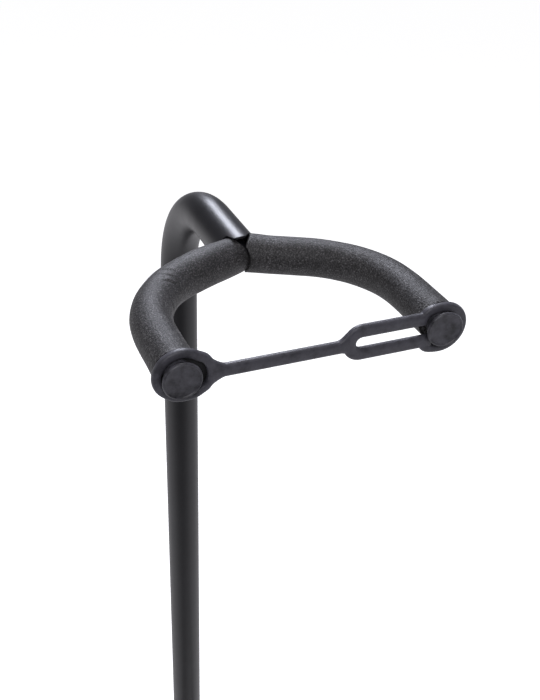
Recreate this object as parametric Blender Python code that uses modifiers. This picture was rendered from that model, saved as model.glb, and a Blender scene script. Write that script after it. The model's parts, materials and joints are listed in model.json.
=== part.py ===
"""A folding guitar stand: tripod legs, a sliding upright, a body cradle and a padded neck yoke.

The stand faces -Y, +X is to its right seen from behind, and +Z is up. Lengths are in metres.
Everything is first placed with the upright on the Z axis and the floor at z = 0; at the end the
whole stand is moved along Y until the origin lies under the middle of its box.
"""

import math

import bmesh
import bpy
from mathutils import Matrix, Vector

X, Y, Z = Vector((1, 0, 0)), Vector((0, 1, 0)), Vector((0, 0, 1))

# Fits and edges
CLEARANCE = 0.0003  # left between pieces that touch or slide
EDGE = 0.0010  # chamfer of moulded pieces
FINE_EDGE = 0.0004  # chamfer of small pieces

# Neck tube: the sliding upright that ends in a gooseneck
NECK_TUBE_R = 0.0095
NECK_TUBE_WALL = 0.0012
ROD_PLANE_Z = 0.800  # height of the yoke rod's centreline
GOOSENECK_R = 0.054
GOOSENECK_RUN = 0.033  # from the end of the bend to the yoke's apex
NECK_INSERT = 0.078  # how far the neck tube reaches into the outer tube

# Yoke: a bent rod welded across the tube's end
YOKE_ROD_R = 0.004
YOKE_SPLAY = math.radians(26)  # how far each side leans forward of sideways
YOKE_INNER_RUN = 0.029
YOKE_BEND_R = 0.046
YOKE_ARM_RUN = 0.0295  # from the bend to the cap's face
APEX_FILLET_R = 0.008
LIP_REACH = 0.0039  # how far the tube's two lips reach past the rod's centreline
BOSS_GAP = 0.0012  # from the boss's shoulder to the nearest corner of a sleeve
BOSS_SEAT = 0.0025  # how far behind the apex the boss ends
BOSS_PLUG_LENGTH = 0.010

# Foam sleeves and mushroom caps of the yoke
FOAM_R = 0.00815
CAP_HEAD_R = 0.0070
CAP_HEAD_T = 0.0022
CAP_NECK_R = 0.0055
CAP_NECK_LENGTH = 0.0042
CAP_FLANGE_T = 0.0015
CAP_FLANGE_LIP = 0.0006  # how far the flange stands proud of the foam
CAP_FACE_T = 0.0030

# Rubber strap across the mouth of the yoke
STRAP_T = 0.003
STRAP_CHAMFER = 0.0006
STRAP_BAND = 0.0031  # width of the rings
STRAP_BAR_HALF = 0.0020
STRAP_LOOP_HALF = 0.0068
STRAP_SLOT_HALF = 0.00295
STRAP_HINGE_OFFSET = 0.0179  # from the left cap's axis to the bend line
STRAP_HINGE_DROP = 0.0019
STRAP_BAR_LENGTH = 0.044
STRAP_SHOULDER = 0.007
STRAP_SLOT_START = 0.0505
EYELET_SLACK = 0.0019  # hole radius less the cap's neck radius
EYELET_PULL = math.radians(40)  # direction in which the eyelet hangs on the neck
EYELET_POINT = 0.0070  # from the middle of the hole to its pointed end
EYELET_POINT_R = 0.0022
RING_SLIP = 0.0006  # hole radius less the cap's head radius
RING_DROP = 0.0002
NOSE_INSET = 0.0001  # how far the round nose at the bend line lies inside the bar

# Outer tube and clutch
OUTER_TUBE_R = 0.0127
OUTER_TUBE_WALL = 0.0015
OUTER_TUBE_LENGTH = 0.208
TUBE_BELOW_HUB = 0.018
PLUG_DEPTH = 0.012
PLUG_FLANGE_T = 0.0027
BUSH_LENGTH = 0.022
BUSH_LIP_T = 0.0027
BUSH_LIP = 0.001  # how far the lip reaches in past the neck tube's bore
CLUTCH_R = 0.0180
CLUTCH_BELOW = 0.028  # clutch below the outer tube's top
CLUTCH_ABOVE = 0.027
CLUTCH_CHAMFER = 0.0025
CLUTCH_STEP = 0.0015  # its lower part is slimmer by this much
CLUTCH_BOSS_R = 0.0078
CLUTCH_BOSS_REACH = 0.0250
KNOB_AXIS_RISE = 0.0135  # above the outer tube's top
STUD_R = 0.004
PAD_T = 0.0022
KNOB_R = 0.0150
KNOB_T = 0.0095
KNOB_CHAMFER = 0.0015
KNOB_CORE_R = 0.0082
KNOB_DOME = 0.0012
KNOB_LOBES = 5
KNOB_LOBE_DEPTH = 0.0022
KNOB_NECK = 0.0020
KNOB_SOCKET = 0.0075

# Hub, cradle bearing
HUB_WALL = 0.0055
PIVOT_Z = 0.155
LEG_REACH = 0.247  # from the upright to where a leg's axis meets the floor
TONGUE_R = 0.0076
TONGUE_T = 0.010
EAR_T = 0.0044
LUG_R = 0.0122
LUG_CHAMFER = 0.0008
LUG_FLARE = 0.003  # how much taller a lug is at the sleeve, above and below
PIN_R = 0.0025
PIN_HEAD_R = 0.0044
PIN_HEAD_T = 0.0016
HUB_SKIRT = 0.026  # hub below the leg pivots
CROSSBAR_RISE = 0.035  # crossbar above the leg pivots
SADDLE_GAP = 0.0090  # plastic between the upright's sleeve and the crossbar
SADDLE_WIDTH = 0.040
DOME_WALL = 0.0044
SADDLE_FLANGE_H = 0.0072
SADDLE_FLANGE_T = 0.005
SCREW_R = 0.0020
SCREW_HEAD_R = 0.0031
SCREW_HEAD_T = 0.0018
SCREW_LENGTH = 0.014
SCREW_SPACING = 0.026
HUB_SCREW_RISE = 0.045  # above the leg pivots
STOP_PIN_R = 0.0020
STOP_PIN_REACH = 0.0140
STOP_PIN_DEPTH = 0.0040

# Legs and feet
LEG_TUBE_R = 0.008
LEG_TUBE_WALL = 0.0012
LEG_TUBE_START = 0.020
KNUCKLE_PLUG = 0.024
COLLAR_T = 0.005  # round collar of the knuckle, against the tube's end
FOOT_WALL = 0.0025
FOOT_SOLE = 0.004
FOOT_OVERHANG = 0.004
FOOT_SOCKET = 0.018
FOOT_DOME = 0.006
FOOT_TAPER = 0.004  # length of the taper at its mouth

# Cradle: a bent tube that turns in the hub
CRADLE_TUBE_R = 0.00635
CRADLE_TUBE_WALL = 0.0012
CRADLE_HALF_WIDTH = 0.095
CRADLE_CORNER_R = 0.028
CRADLE_REACH = 0.150
CRADLE_TIP_R = 0.024
CRADLE_TIP_ANGLE = math.radians(72)
CRADLE_TIP_RUN = 0.034
CRADLE_FOAM_R = 0.011
CRADLE_FOAM_GAP = 0.006  # bare tube between the corner bend and the foam
CRADLE_CAP_T = 0.0075
CRADLE_CAP_FACE = 0.003

# Fineness
TUBE_SIDES = 18
ROD_SIDES = 12
CRADLE_SIDES = 14
LEG_SIDES = 14
HOLE_SIDES = 10
BEND_STEP = math.radians(9)
CRADLE_BEND_STEP = math.radians(15)
TURN_STEPS = 18

# Sizes that follow from the ones above
SPLAY_SIN, SPLAY_COS = math.sin(YOKE_SPLAY), math.cos(YOKE_SPLAY)
SLEEVE_START = (FOAM_R * SPLAY_SIN + 0.7 * CLEARANCE) / SPLAY_COS
SHOULDER_TO_APEX = FOAM_R * SPLAY_COS - SLEEVE_START * SPLAY_SIN + BOSS_GAP
BOSS_R = (SLEEVE_START - CLEARANCE + BOSS_SEAT * SPLAY_SIN) / SPLAY_COS
APEX_Y = -(GOOSENECK_R + GOOSENECK_RUN)
CAP_X = YOKE_INNER_RUN * SPLAY_COS + YOKE_BEND_R * (1 - SPLAY_SIN)
CAP_FACE_Y = APEX_Y - YOKE_INNER_RUN * SPLAY_SIN - YOKE_BEND_R * SPLAY_COS - YOKE_ARM_RUN
CAP_DEPTH = CAP_HEAD_T + CAP_NECK_LENGTH + CAP_FLANGE_T
STRAP_Y = CAP_FACE_Y + CAP_HEAD_T + CAP_NECK_LENGTH - CLEARANCE - STRAP_T / 2

HUB_R = OUTER_TUBE_R + CLEARANCE + HUB_WALL
PIVOT_RADIUS = HUB_R + LUG_R + 0.001
LEG_TILT = math.atan2(LEG_REACH - PIVOT_RADIUS, PIVOT_Z)  # from straight down, when open
LEG_TO_FLOOR = math.hypot(LEG_REACH - PIVOT_RADIUS, PIVOT_Z)
LUG_WIDTH = TONGUE_T + 2 * (CLEARANCE + EAR_T)
CROSSBAR_Z = PIVOT_Z + CROSSBAR_RISE
CROSSBAR_Y = -(HUB_R + SADDLE_GAP + CLEARANCE + CRADLE_TUBE_R)
DOME_R = CRADLE_TUBE_R + CLEARANCE + DOME_WALL
SADDLE_HALF_HEIGHT = DOME_R + SADDLE_FLANGE_H - 0.001
HUB_BOTTOM_Z = PIVOT_Z - HUB_SKIRT
HUB_TOP_Z = CROSSBAR_Z + SADDLE_HALF_HEIGHT + 0.005
OUTER_TUBE_BOTTOM_Z = HUB_BOTTOM_Z - TUBE_BELOW_HUB
OUTER_TUBE_TOP_Z = OUTER_TUBE_BOTTOM_Z + OUTER_TUBE_LENGTH
NECK_BOTTOM_Z = OUTER_TUBE_TOP_Z - NECK_INSERT
KNOB_Z = OUTER_TUBE_TOP_Z + KNOB_AXIS_RISE

# Finishes: base colour, roughness, metallic
FINISHES = {
    "black_paint": ((0.022, 0.023, 0.026), 0.38, 0.0),
    "foam": ((0.070, 0.068, 0.066), 0.95, 0.0),
    "rubber": ((0.062, 0.063, 0.074), 0.62, 0.0),
    "nylon": ((0.030, 0.030, 0.032), 0.55, 0.0),
    "zinc": ((0.62, 0.63, 0.65), 0.30, 1.0),
    "brass": ((0.70, 0.52, 0.25), 0.35, 1.0),
}


def clear_scene():
    """Removes every object of the open scene."""
    for obj in list(bpy.data.objects):
        bpy.data.objects.remove(obj, do_unlink=True)


def new_collection(name):
    collection = bpy.data.collections.new(name)
    bpy.context.scene.collection.children.link(collection)
    return collection


clear_scene()
PARTS = new_collection("guitar_stand")
CUTTERS = new_collection("cutters")


def frame_at(origin, x_axis=X, y_axis=Y):
    """The place of a piece: its origin and the directions of its own X and Y."""
    z_axis = x_axis.cross(y_axis)
    matrix = Matrix((x_axis, y_axis, z_axis)).transposed().to_4x4()
    matrix.translation = origin
    return matrix


def facing(origin, direction):
    """A place whose own Z points along the given direction."""
    matrix = direction.to_track_quat("Z", "Y").to_matrix().to_4x4()
    matrix.translation = origin
    return matrix


def add(name, mesh, place):
    obj = bpy.data.objects.new(name, mesh)
    PARTS.objects.link(obj)
    obj.matrix_world = place
    return obj


def finished(obj, finish):
    """Gives a sub-part its own material."""
    color, roughness, metallic = FINISHES[finish]
    material = bpy.data.materials.new(obj.name + "_" + finish)
    material.use_nodes = True
    shader = material.node_tree.nodes["Principled BSDF"]
    shader.inputs["Base Color"].default_value = (*color, 1)
    shader.inputs["Roughness"].default_value = roughness
    shader.inputs["Metallic"].default_value = metallic
    obj.data.materials.append(material)
    return obj


def combine(target, tool, operation="DIFFERENCE"):
    """Cuts or joins with another object, which becomes a hidden helper."""
    if PARTS in tool.users_collection:
        PARTS.objects.unlink(tool)
        CUTTERS.objects.link(tool)
    tool.name = target.name + "_" + tool.name
    tool.hide_render = True
    tool.display_type = "WIRE"
    boolean = target.modifiers.new(tool.name, "BOOLEAN")
    boolean.operation = operation
    boolean.solver = "EXACT"
    boolean.object = tool
    return target


def from_curve(name, curve, place):
    """Makes a curve a mesh with its caps welded."""
    helper = bpy.data.objects.new(name + "_curve", curve)
    PARTS.objects.link(helper)
    evaluated = helper.evaluated_get(bpy.context.evaluated_depsgraph_get())
    mesh = bpy.data.meshes.new_from_object(evaluated)
    mesh.name = name
    bpy.data.objects.remove(helper, do_unlink=True)
    bm = bmesh.new()
    bm.from_mesh(mesh)
    bmesh.ops.remove_doubles(bm, verts=bm.verts, dist=1e-6)
    bmesh.ops.recalc_face_normals(bm, faces=bm.faces)
    bm.to_mesh(mesh)
    bm.free()
    mesh.shade_smooth()
    mesh.set_sharp_from_angle(angle=math.radians(35))
    return add(name, mesh, place)


def swept(name, points, radius, sides, place, capped=True):
    """A round bar along a list of points."""
    curve = bpy.data.curves.new(name, "CURVE")
    curve.dimensions = "3D"
    curve.bevel_depth = radius
    curve.bevel_resolution = (sides - 4) // 2
    curve.use_fill_caps = capped
    spline = curve.splines.new("POLY")
    spline.points.add(len(points) - 1)
    for spot, point in zip(spline.points, points):
        spot.co = (*point, 1)
    return from_curve(name, curve, place)


def pipe(name, points, radius, wall, sides, place):
    """A hollow tube, open at both ends, along a list of points."""
    obj = swept(name, points, radius, sides, place, capped=False)
    shell = obj.modifiers.new("wall", "SOLIDIFY")
    shell.thickness = wall
    shell.offset = -1
    shell.use_even_offset = True
    return obj


def plate(name, outlines, thickness, chamfer, place):
    """A flat outline in the piece's own XY plane, half its thickness to each side."""
    curve = bpy.data.curves.new(name, "CURVE")
    curve.dimensions = "2D"
    curve.fill_mode = "BOTH"
    curve.extrude = thickness / 2 - chamfer
    curve.bevel_depth = chamfer
    curve.bevel_resolution = 0
    curve.offset = -chamfer
    for outline in outlines:
        spline = curve.splines.new("POLY")
        spline.points.add(len(outline) - 1)
        for spot, (u, v) in zip(spline.points, outline):
            spot.co = (u, v, 0, 1)
        spline.use_cyclic_u = True
    return from_curve(name, curve, place)


def whole_faces(obj):
    """Joins the triangles that fill a plate's flat faces, so that none of their edges crosses a hole."""
    flat = bmesh.new()
    flat.from_mesh(obj.data)
    bmesh.ops.dissolve_limit(flat, angle_limit=math.radians(1), verts=flat.verts, edges=flat.edges)
    flat.to_mesh(obj.data)
    flat.free()
    return obj


def turned(name, profile, place, steps=TURN_STEPS, ring=False):
    """A turned piece. The profile's (radius, height) points run down its outer side."""
    mesh = bpy.data.meshes.new(name)
    edges = [(i, i + 1) for i in range(len(profile) - 1)]
    if ring:
        edges.append((len(profile) - 1, 0))
    mesh.from_pydata([(r, 0, z) for r, z in profile], edges, [])
    obj = add(name, mesh, place)
    screw = obj.modifiers.new("turn", "SCREW")
    screw.steps = screw.render_steps = steps
    screw.use_merge_vertices = True
    screw.merge_threshold = 0.00001
    return obj


def cylinders(name, centres, axis, radius, length, sides=16):
    """Separate straight cylinders of one size, side by side in one helper."""
    bm = bmesh.new()
    for centre in centres:
        bmesh.ops.create_cone(
            bm,
            cap_ends=True,
            segments=sides,
            radius1=radius,
            radius2=radius,
            depth=length,
            matrix=facing(centre, axis),
        )
    mesh = bpy.data.meshes.new(name)
    bm.to_mesh(mesh)
    bm.free()
    return add(name, mesh, Matrix())


def block(name, low, high):
    """A box between two corners."""
    low, high = Vector(low), Vector(high)
    bm = bmesh.new()
    size = Matrix.Diagonal((*(high - low), 1))
    bmesh.ops.create_cube(bm, size=1, matrix=Matrix.Translation((low + high) / 2) @ size)
    mesh = bpy.data.meshes.new(name)
    bm.to_mesh(mesh)
    bm.free()
    return add(name, mesh, Matrix())


def arc(centre, radius, start, end, steps):
    """Points on a circle in a plane, from one angle to another."""
    return [
        (
            centre[0] + radius * math.cos(start + (end - start) * i / steps),
            centre[1] + radius * math.sin(start + (end - start) * i / steps),
        )
        for i in range(steps + 1)
    ]


def route(start, heading, moves, bend_step=BEND_STEP):
    """Points along straight runs and round bends. A bend turns about its axis by the right-hand rule."""
    point, heading = Vector(start), Vector(heading)
    points = [point.copy()]
    for kind, *sizes in moves:
        if kind == "run":
            point = point + heading * sizes[0]
            points.append(point.copy())
            continue
        radius, axis, angle = sizes
        centre = point + radius * axis.cross(heading)
        steps = max(2, math.ceil(angle / bend_step - 0.01))
        turn = Matrix.Rotation(angle / steps, 3, axis)
        for _ in range(steps):
            point = centre + turn @ (point - centre)
            points.append(point.copy())
        heading = Matrix.Rotation(angle, 3, axis) @ heading
    return points


def stretch(points, start, end):
    """The part of a route between two distances along it."""
    kept, walked = [], 0.0
    for a, b in zip(points, points[1:]):
        length = (b - a).length
        if walked + length > start and not kept:
            kept.append(a.lerp(b, (start - walked) / length))
        if kept and walked + length >= end:
            kept.append(a.lerp(b, (end - walked) / length))
            return kept
        if kept and (b - kept[-1]).length > 0.0005:
            kept.append(b.copy())
        walked += length
    return kept


def length_of(points):
    return sum((b - a).length for a, b in zip(points, points[1:]))


def mirrored(points):
    return [Vector((-p.x, p.y, p.z)) for p in points]


def tangent_outline(centre, radius, corner_top, corner_bottom, steps):
    """Round a circle and on to a short flat end at its right, along the tangents between them."""
    ends = []
    for corner, side in ((corner_top, 1), (corner_bottom, -1)):
        dx, dy = corner[0] - centre[0], corner[1] - centre[1]
        ends.append(math.atan2(dy, dx) + side * math.acos(radius / math.hypot(dx, dy)))
    around = arc(centre, radius, ends[0], ends[1] + 2 * math.pi, steps)
    return around + [corner_bottom, corner_top]


def teardrop(centre, radius, point_distance, point_radius, steps):
    """Two circles in a row and the tangents between them."""
    lean = math.acos((radius - point_radius) / point_distance)
    tip = (centre[0] + point_distance, centre[1])
    big = arc(centre, radius, lean, 2 * math.pi - lean, steps)
    small = arc(tip, point_radius, -lean, lean, max(4, steps // 3))
    return big + small


def yoke_half():
    """Right half of the yoke rod's centreline, from the apex to the plane of the cap's face."""
    return route(
        (0, APEX_Y, ROD_PLANE_Z),
        (SPLAY_COS, -SPLAY_SIN, 0),
        [
            ("run", YOKE_INNER_RUN),
            ("bend", YOKE_BEND_R, -Z, math.pi / 2 - YOKE_SPLAY),
            ("run", YOKE_ARM_RUN),
        ],
    )


def yoke_route():
    """The whole rod, with a small bend at the apex, from inside one cap to inside the other."""
    half = yoke_half()
    tangent = APEX_FILLET_R * math.tan(YOKE_SPLAY)
    rod_end = length_of(half) - CAP_FACE_T - CLEARANCE
    side = stretch(half, tangent, rod_end)
    centre = Vector((0, APEX_Y - APEX_FILLET_R / SPLAY_COS, ROD_PLANE_Z))
    bend = [
        centre + APEX_FILLET_R * Vector((math.sin(angle), math.cos(angle), 0))
        for angle in (-YOKE_SPLAY / 2, 0, YOKE_SPLAY / 2)
    ]
    return mirrored(side)[::-1] + bend + side


def neck_tube():
    """Upright tube with a gooseneck, a guide bush below and a plug with a boss in its end.

    The end is coped to the two foam sleeves, so that one lip lies above the rod and one below it.
    """
    centreline = route(
        (0, 0, NECK_BOTTOM_Z),
        Z,
        [
            ("run", ROD_PLANE_Z - GOOSENECK_R - NECK_BOTTOM_Z),
            ("bend", GOOSENECK_R, X, math.pi / 2),
            ("run", GOOSENECK_RUN + LIP_REACH),
        ],
    )
    tube = pipe("neck_tube", centreline, NECK_TUBE_R, NECK_TUBE_WALL, TUBE_SIDES, Matrix())
    for sign in (-1, 1):
        along = Vector((sign * SPLAY_COS, -SPLAY_SIN, 0))
        middle = Vector((0, APEX_Y, ROD_PLANE_Z)) + along * (SLEEVE_START - CLEARANCE + NECK_TUBE_R)
        combine(tube, cylinders("cope", [middle], along, FOAM_R + CLEARANCE, 2 * NECK_TUBE_R, TURN_STEPS))
    finished(tube, "black_paint")

    plug_r = NECK_TUBE_R - NECK_TUBE_WALL - CLEARANCE
    reach = SHOULDER_TO_APEX - BOSS_SEAT
    plug = turned(
        "neck_end_boss",
        [
            (0, reach),
            (BOSS_R - FINE_EDGE, reach),
            (BOSS_R, reach - FINE_EDGE),
            (BOSS_R, 0),
            (plug_r, 0),
            (plug_r, -BOSS_PLUG_LENGTH),
            (0, -BOSS_PLUG_LENGTH),
        ],
        facing(Vector((0, APEX_Y + SHOULDER_TO_APEX, ROD_PLANE_Z)), -Y),
    )
    saddle = swept("rod_seat", yoke_route(), YOKE_ROD_R + CLEARANCE, 16, Matrix())
    finished(combine(plug, saddle), "black_paint")

    outer = OUTER_TUBE_R - OUTER_TUBE_WALL - CLEARANCE
    bore = NECK_TUBE_R + CLEARANCE
    bottom = -CLEARANCE - BUSH_LIP_T
    mouth = NECK_TUBE_R - NECK_TUBE_WALL - BUSH_LIP
    bush = turned(
        "guide_bush",
        [
            (outer - FINE_EDGE, BUSH_LENGTH),
            (outer, BUSH_LENGTH - EDGE),
            (outer, bottom + EDGE),
            (outer - EDGE, bottom),
            (mouth, bottom),
            (mouth, -CLEARANCE),
            (bore, -CLEARANCE),
            (bore, BUSH_LENGTH),
        ],
        Matrix.Translation((0, 0, NECK_BOTTOM_Z)),
        ring=True,
    )
    finished(bush, "nylon")


def yoke():
    """Bent rod, two foam sleeves and two mushroom caps."""
    rod = swept("yoke_rod", yoke_route(), YOKE_ROD_R, ROD_SIDES, Matrix())
    finished(rod, "black_paint")

    half = yoke_half()
    foam_end = length_of(half) - CAP_DEPTH - CLEARANCE
    right = stretch(half, SLEEVE_START, foam_end)
    wall = FOAM_R - YOKE_ROD_R - CLEARANCE
    flange_r = FOAM_R + CAP_FLANGE_LIP
    neck_end = CAP_HEAD_T + CAP_NECK_LENGTH
    profile = [
        (0, 0),
        (CAP_HEAD_R - EDGE, 0),
        (CAP_HEAD_R - EDGE / 4, -FINE_EDGE),
        (CAP_HEAD_R, -EDGE),
        (CAP_HEAD_R - FINE_EDGE, FINE_EDGE - CAP_HEAD_T),
        (CAP_HEAD_R - 2 * FINE_EDGE, -CAP_HEAD_T),
        (CAP_NECK_R, -CAP_HEAD_T),
        (CAP_NECK_R, -neck_end),
        (flange_r - FINE_EDGE, -neck_end),
        (flange_r, -neck_end - FINE_EDGE),
        (flange_r, -CAP_DEPTH),
        (YOKE_ROD_R + CLEARANCE, -CAP_DEPTH),
        (YOKE_ROD_R + CLEARANCE, -CAP_FACE_T),
        (0, -CAP_FACE_T),
    ]
    for side, sign, points in (("left", -1, mirrored(right)), ("right", 1, right)):
        foam = pipe("yoke_foam_" + side, points, FOAM_R, wall, TUBE_SIDES, Matrix())
        finished(foam, "foam")
        place = facing(Vector((sign * CAP_X, CAP_FACE_Y, ROD_PLANE_Z)), -Y)
        finished(turned("yoke_cap_" + side, profile, place), "rubber")


def strap():
    """Rubber strap: an eyelet on the left cap, and a band that bends open beside it.

    The band is a bar, a long loop and a ring whose hole runs into the loop's slot, like a keyhole.
    """
    hinge = Vector((-CAP_X + STRAP_HINGE_OFFSET, STRAP_Y, ROD_PLANE_Z - STRAP_HINGE_DROP))
    hole_r = CAP_NECK_R + EYELET_SLACK
    hang = EYELET_SLACK - CLEARANCE
    centre = (
        -CAP_X + hang * math.cos(EYELET_PULL) - hinge.x,
        ROD_PLANE_Z - hang * math.sin(EYELET_PULL) - hinge.z,
    )
    end_x = -STRAP_T / 2 - CLEARANCE
    outline = tangent_outline(
        centre, hole_r + STRAP_BAND, (end_x, STRAP_BAR_HALF), (end_x, -STRAP_BAR_HALF), 18
    )
    hole = teardrop(centre, hole_r, EYELET_POINT, EYELET_POINT_R, 15)
    eyelet = plate("strap_eyelet", [outline, hole], STRAP_T, STRAP_CHAMFER, frame_at(hinge, X, Z))
    finished(eyelet, "rubber")

    ring_centre = Vector((CAP_X, STRAP_Y, ROD_PLANE_Z - RING_DROP))
    along = (ring_centre - hinge).normalized()
    reach = (ring_centre - hinge).length
    ring_hole = CAP_HEAD_R + RING_SLIP
    ring_r = ring_hole + STRAP_BAND
    shoulder = [
        (STRAP_BAR_LENGTH + STRAP_SHOULDER * t, ease_between(STRAP_BAR_HALF, STRAP_LOOP_HALF, t))
        for t in (0, 0.2, 0.4, 0.6, 0.8, 1)
    ]
    join = math.pi - math.asin(STRAP_LOOP_HALF / ring_r)
    below = [(x, -y) for x, y in shoulder]
    around = arc((reach, 0), ring_r, -join, join, 20)
    band_outline = [(0, -STRAP_BAR_HALF)] + below + around + shoulder[::-1] + [(0, STRAP_BAR_HALF)]

    mouth = math.pi - math.asin(STRAP_SLOT_HALF / ring_hole)
    slot_end = (STRAP_SLOT_START + STRAP_SLOT_HALF, 0)
    slot = arc(slot_end, STRAP_SLOT_HALF, math.pi / 2, 1.5 * math.pi, 8)
    keyhole = slot + arc((reach, 0), ring_hole, -mouth, mouth, 16)
    place = frame_at(hinge, along, along.cross(Y))
    band = plate("strap_band", [band_outline, keyhole], STRAP_T, STRAP_CHAMFER, place)
    upward = place.col[1].to_3d()
    nose = cylinders("nose", [hinge], upward, STRAP_T / 2 - NOSE_INSET, 2 * (STRAP_BAR_HALF - NOSE_INSET))
    finished(combine(band, nose, "UNION"), "rubber")


def ease_between(low, high, t):
    """Smooth step from one value to another."""
    return low + (high - low) * t * t * (3 - 2 * t)


def outer_tube():
    """Lower upright with its bottom plug and the screw that holds the hub on it."""
    centreline = [Vector((0, 0, OUTER_TUBE_BOTTOM_Z)), Vector((0, 0, OUTER_TUBE_TOP_Z))]
    tube = pipe("outer_tube", centreline, OUTER_TUBE_R, OUTER_TUBE_WALL, TUBE_SIDES, Matrix())
    screw_z = PIVOT_Z + HUB_SCREW_RISE
    spot = Vector((0, OUTER_TUBE_R, screw_z))
    hole = cylinders("screw_hole", [spot], Y, SCREW_R + CLEARANCE, OUTER_TUBE_R / 2, HOLE_SIDES)
    finished(combine(tube, hole), "black_paint")

    plug_r = OUTER_TUBE_R - OUTER_TUBE_WALL - CLEARANCE
    below = -CLEARANCE - PLUG_FLANGE_T
    plug = turned(
        "tube_plug",
        [
            (0, PLUG_DEPTH),
            (plug_r - FINE_EDGE, PLUG_DEPTH),
            (plug_r, PLUG_DEPTH - EDGE),
            (plug_r, -CLEARANCE),
            (OUTER_TUBE_R, -CLEARANCE),
            (OUTER_TUBE_R, below + EDGE),
            (OUTER_TUBE_R - EDGE, below),
            (0, below),
        ],
        Matrix.Translation((0, 0, OUTER_TUBE_BOTTOM_Z)),
    )
    finished(plug, "nylon")

    inner = OUTER_TUBE_R - OUTER_TUBE_WALL + CLEARANCE
    seat = HUB_R + CLEARANCE
    screw("hub_screw", Vector((0, seat, screw_z)), seat - inner, Y)


def clutch():
    """Collar on the outer tube's top, and the pad that a knob presses on the neck tube."""
    top, bottom = CLUTCH_ABOVE, -CLUTCH_BELOW
    lower_bore = OUTER_TUBE_R + CLEARANCE
    upper_bore = NECK_TUBE_R + CLEARANCE
    waist = CLUTCH_R - CLUTCH_STEP
    collar = turned(
        "clutch_body",
        [
            (CLUTCH_R - 2 * CLUTCH_CHAMFER, top),
            (CLUTCH_R - CLUTCH_CHAMFER * 0.6, top - CLUTCH_CHAMFER * 0.5),
            (CLUTCH_R, top - CLUTCH_CHAMFER * 1.6),
            (CLUTCH_R, -CLUTCH_STEP),
            (waist, -4 * CLUTCH_STEP),
            (waist, bottom + EDGE),
            (waist - EDGE, bottom),
            (lower_bore, bottom),
            (lower_bore, CLEARANCE),
            (upper_bore, CLEARANCE),
            (upper_bore, top),
        ],
        Matrix.Translation((0, 0, OUTER_TUBE_TOP_Z)),
        ring=True,
    )
    start = (NECK_TUBE_R + CLUTCH_R) / 2
    middle = Vector((0, (start + CLUTCH_BOSS_REACH) / 2, KNOB_Z))
    boss = cylinders("boss", [middle], Y, CLUTCH_BOSS_R, CLUTCH_BOSS_REACH - start)
    combine(collar, boss, "UNION")
    bore = cylinders("stud_bore", [middle], Y, STUD_R + CLEARANCE, CLUTCH_BOSS_REACH)
    finished(combine(collar, bore), "nylon")

    pad_y = NECK_TUBE_R + CLEARANCE
    pad = turned(
        "clutch_pad",
        [(0, PAD_T), (STUD_R, PAD_T), (STUD_R, 0), (0, 0)],
        facing(Vector((0, pad_y, KNOB_Z)), Y),
        steps=HOLE_SIDES,
    )
    finished(pad, "brass")


def lock_knob():
    """Lobed knob on a threaded stud that ends against the pad."""
    stud_start = NECK_TUBE_R + PAD_T + 2 * CLEARANCE
    clutch_face = CLUTCH_BOSS_REACH
    neck_start = clutch_face + CLEARANCE
    head_start = neck_start + KNOB_NECK
    socket_end = neck_start + KNOB_SOCKET
    outline = [
        (
            (KNOB_R - KNOB_LOBE_DEPTH * (1 - math.cos(KNOB_LOBES * angle)) / 2) * math.cos(angle),
            (KNOB_R - KNOB_LOBE_DEPTH * (1 - math.cos(KNOB_LOBES * angle)) / 2) * math.sin(angle),
        )
        for angle in (2 * math.pi * i / (KNOB_LOBES * 6) for i in range(KNOB_LOBES * 6))
    ]
    axis_at = Vector((0, head_start + KNOB_T / 2, KNOB_Z))
    knob = plate("lock_knob", [outline], KNOB_T, KNOB_CHAMFER, facing(axis_at, Y))
    half = KNOB_T / 2
    core = turned(
        "core",
        [
            (0, half + KNOB_DOME),
            (KNOB_CORE_R * 0.65, half + KNOB_DOME * 0.75),
            (KNOB_CORE_R, half - FINE_EDGE),
            (KNOB_CORE_R, -half - KNOB_NECK + FINE_EDGE),
            (KNOB_CORE_R - FINE_EDGE, -half - KNOB_NECK),
            (0, -half - KNOB_NECK),
        ],
        facing(axis_at, Y),
    )
    combine(knob, core, "UNION")
    middle = Vector((0, (clutch_face + socket_end) / 2, KNOB_Z))
    socket = cylinders("socket", [middle], Y, STUD_R + CLEARANCE, socket_end - clutch_face)
    finished(combine(knob, socket), "nylon")

    length = socket_end - CLEARANCE - stud_start
    stud = turned(
        "knob_stud",
        [
            (0, length),
            (STUD_R, length),
            (STUD_R, EDGE),
            (STUD_R - EDGE, 0),
            (0, 0),
        ],
        facing(Vector((0, stud_start, KNOB_Z)), Y),
        steps=HOLE_SIDES,
    )
    finished(stud, "zinc")


def leg_angles():
    """Directions of the legs round the upright, seen from above: one behind and two in front."""
    return {"rear": math.pi / 2, "left": math.radians(210), "right": math.radians(330)}


def outward(angle):
    return Vector((math.cos(angle), math.sin(angle), 0))


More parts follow.
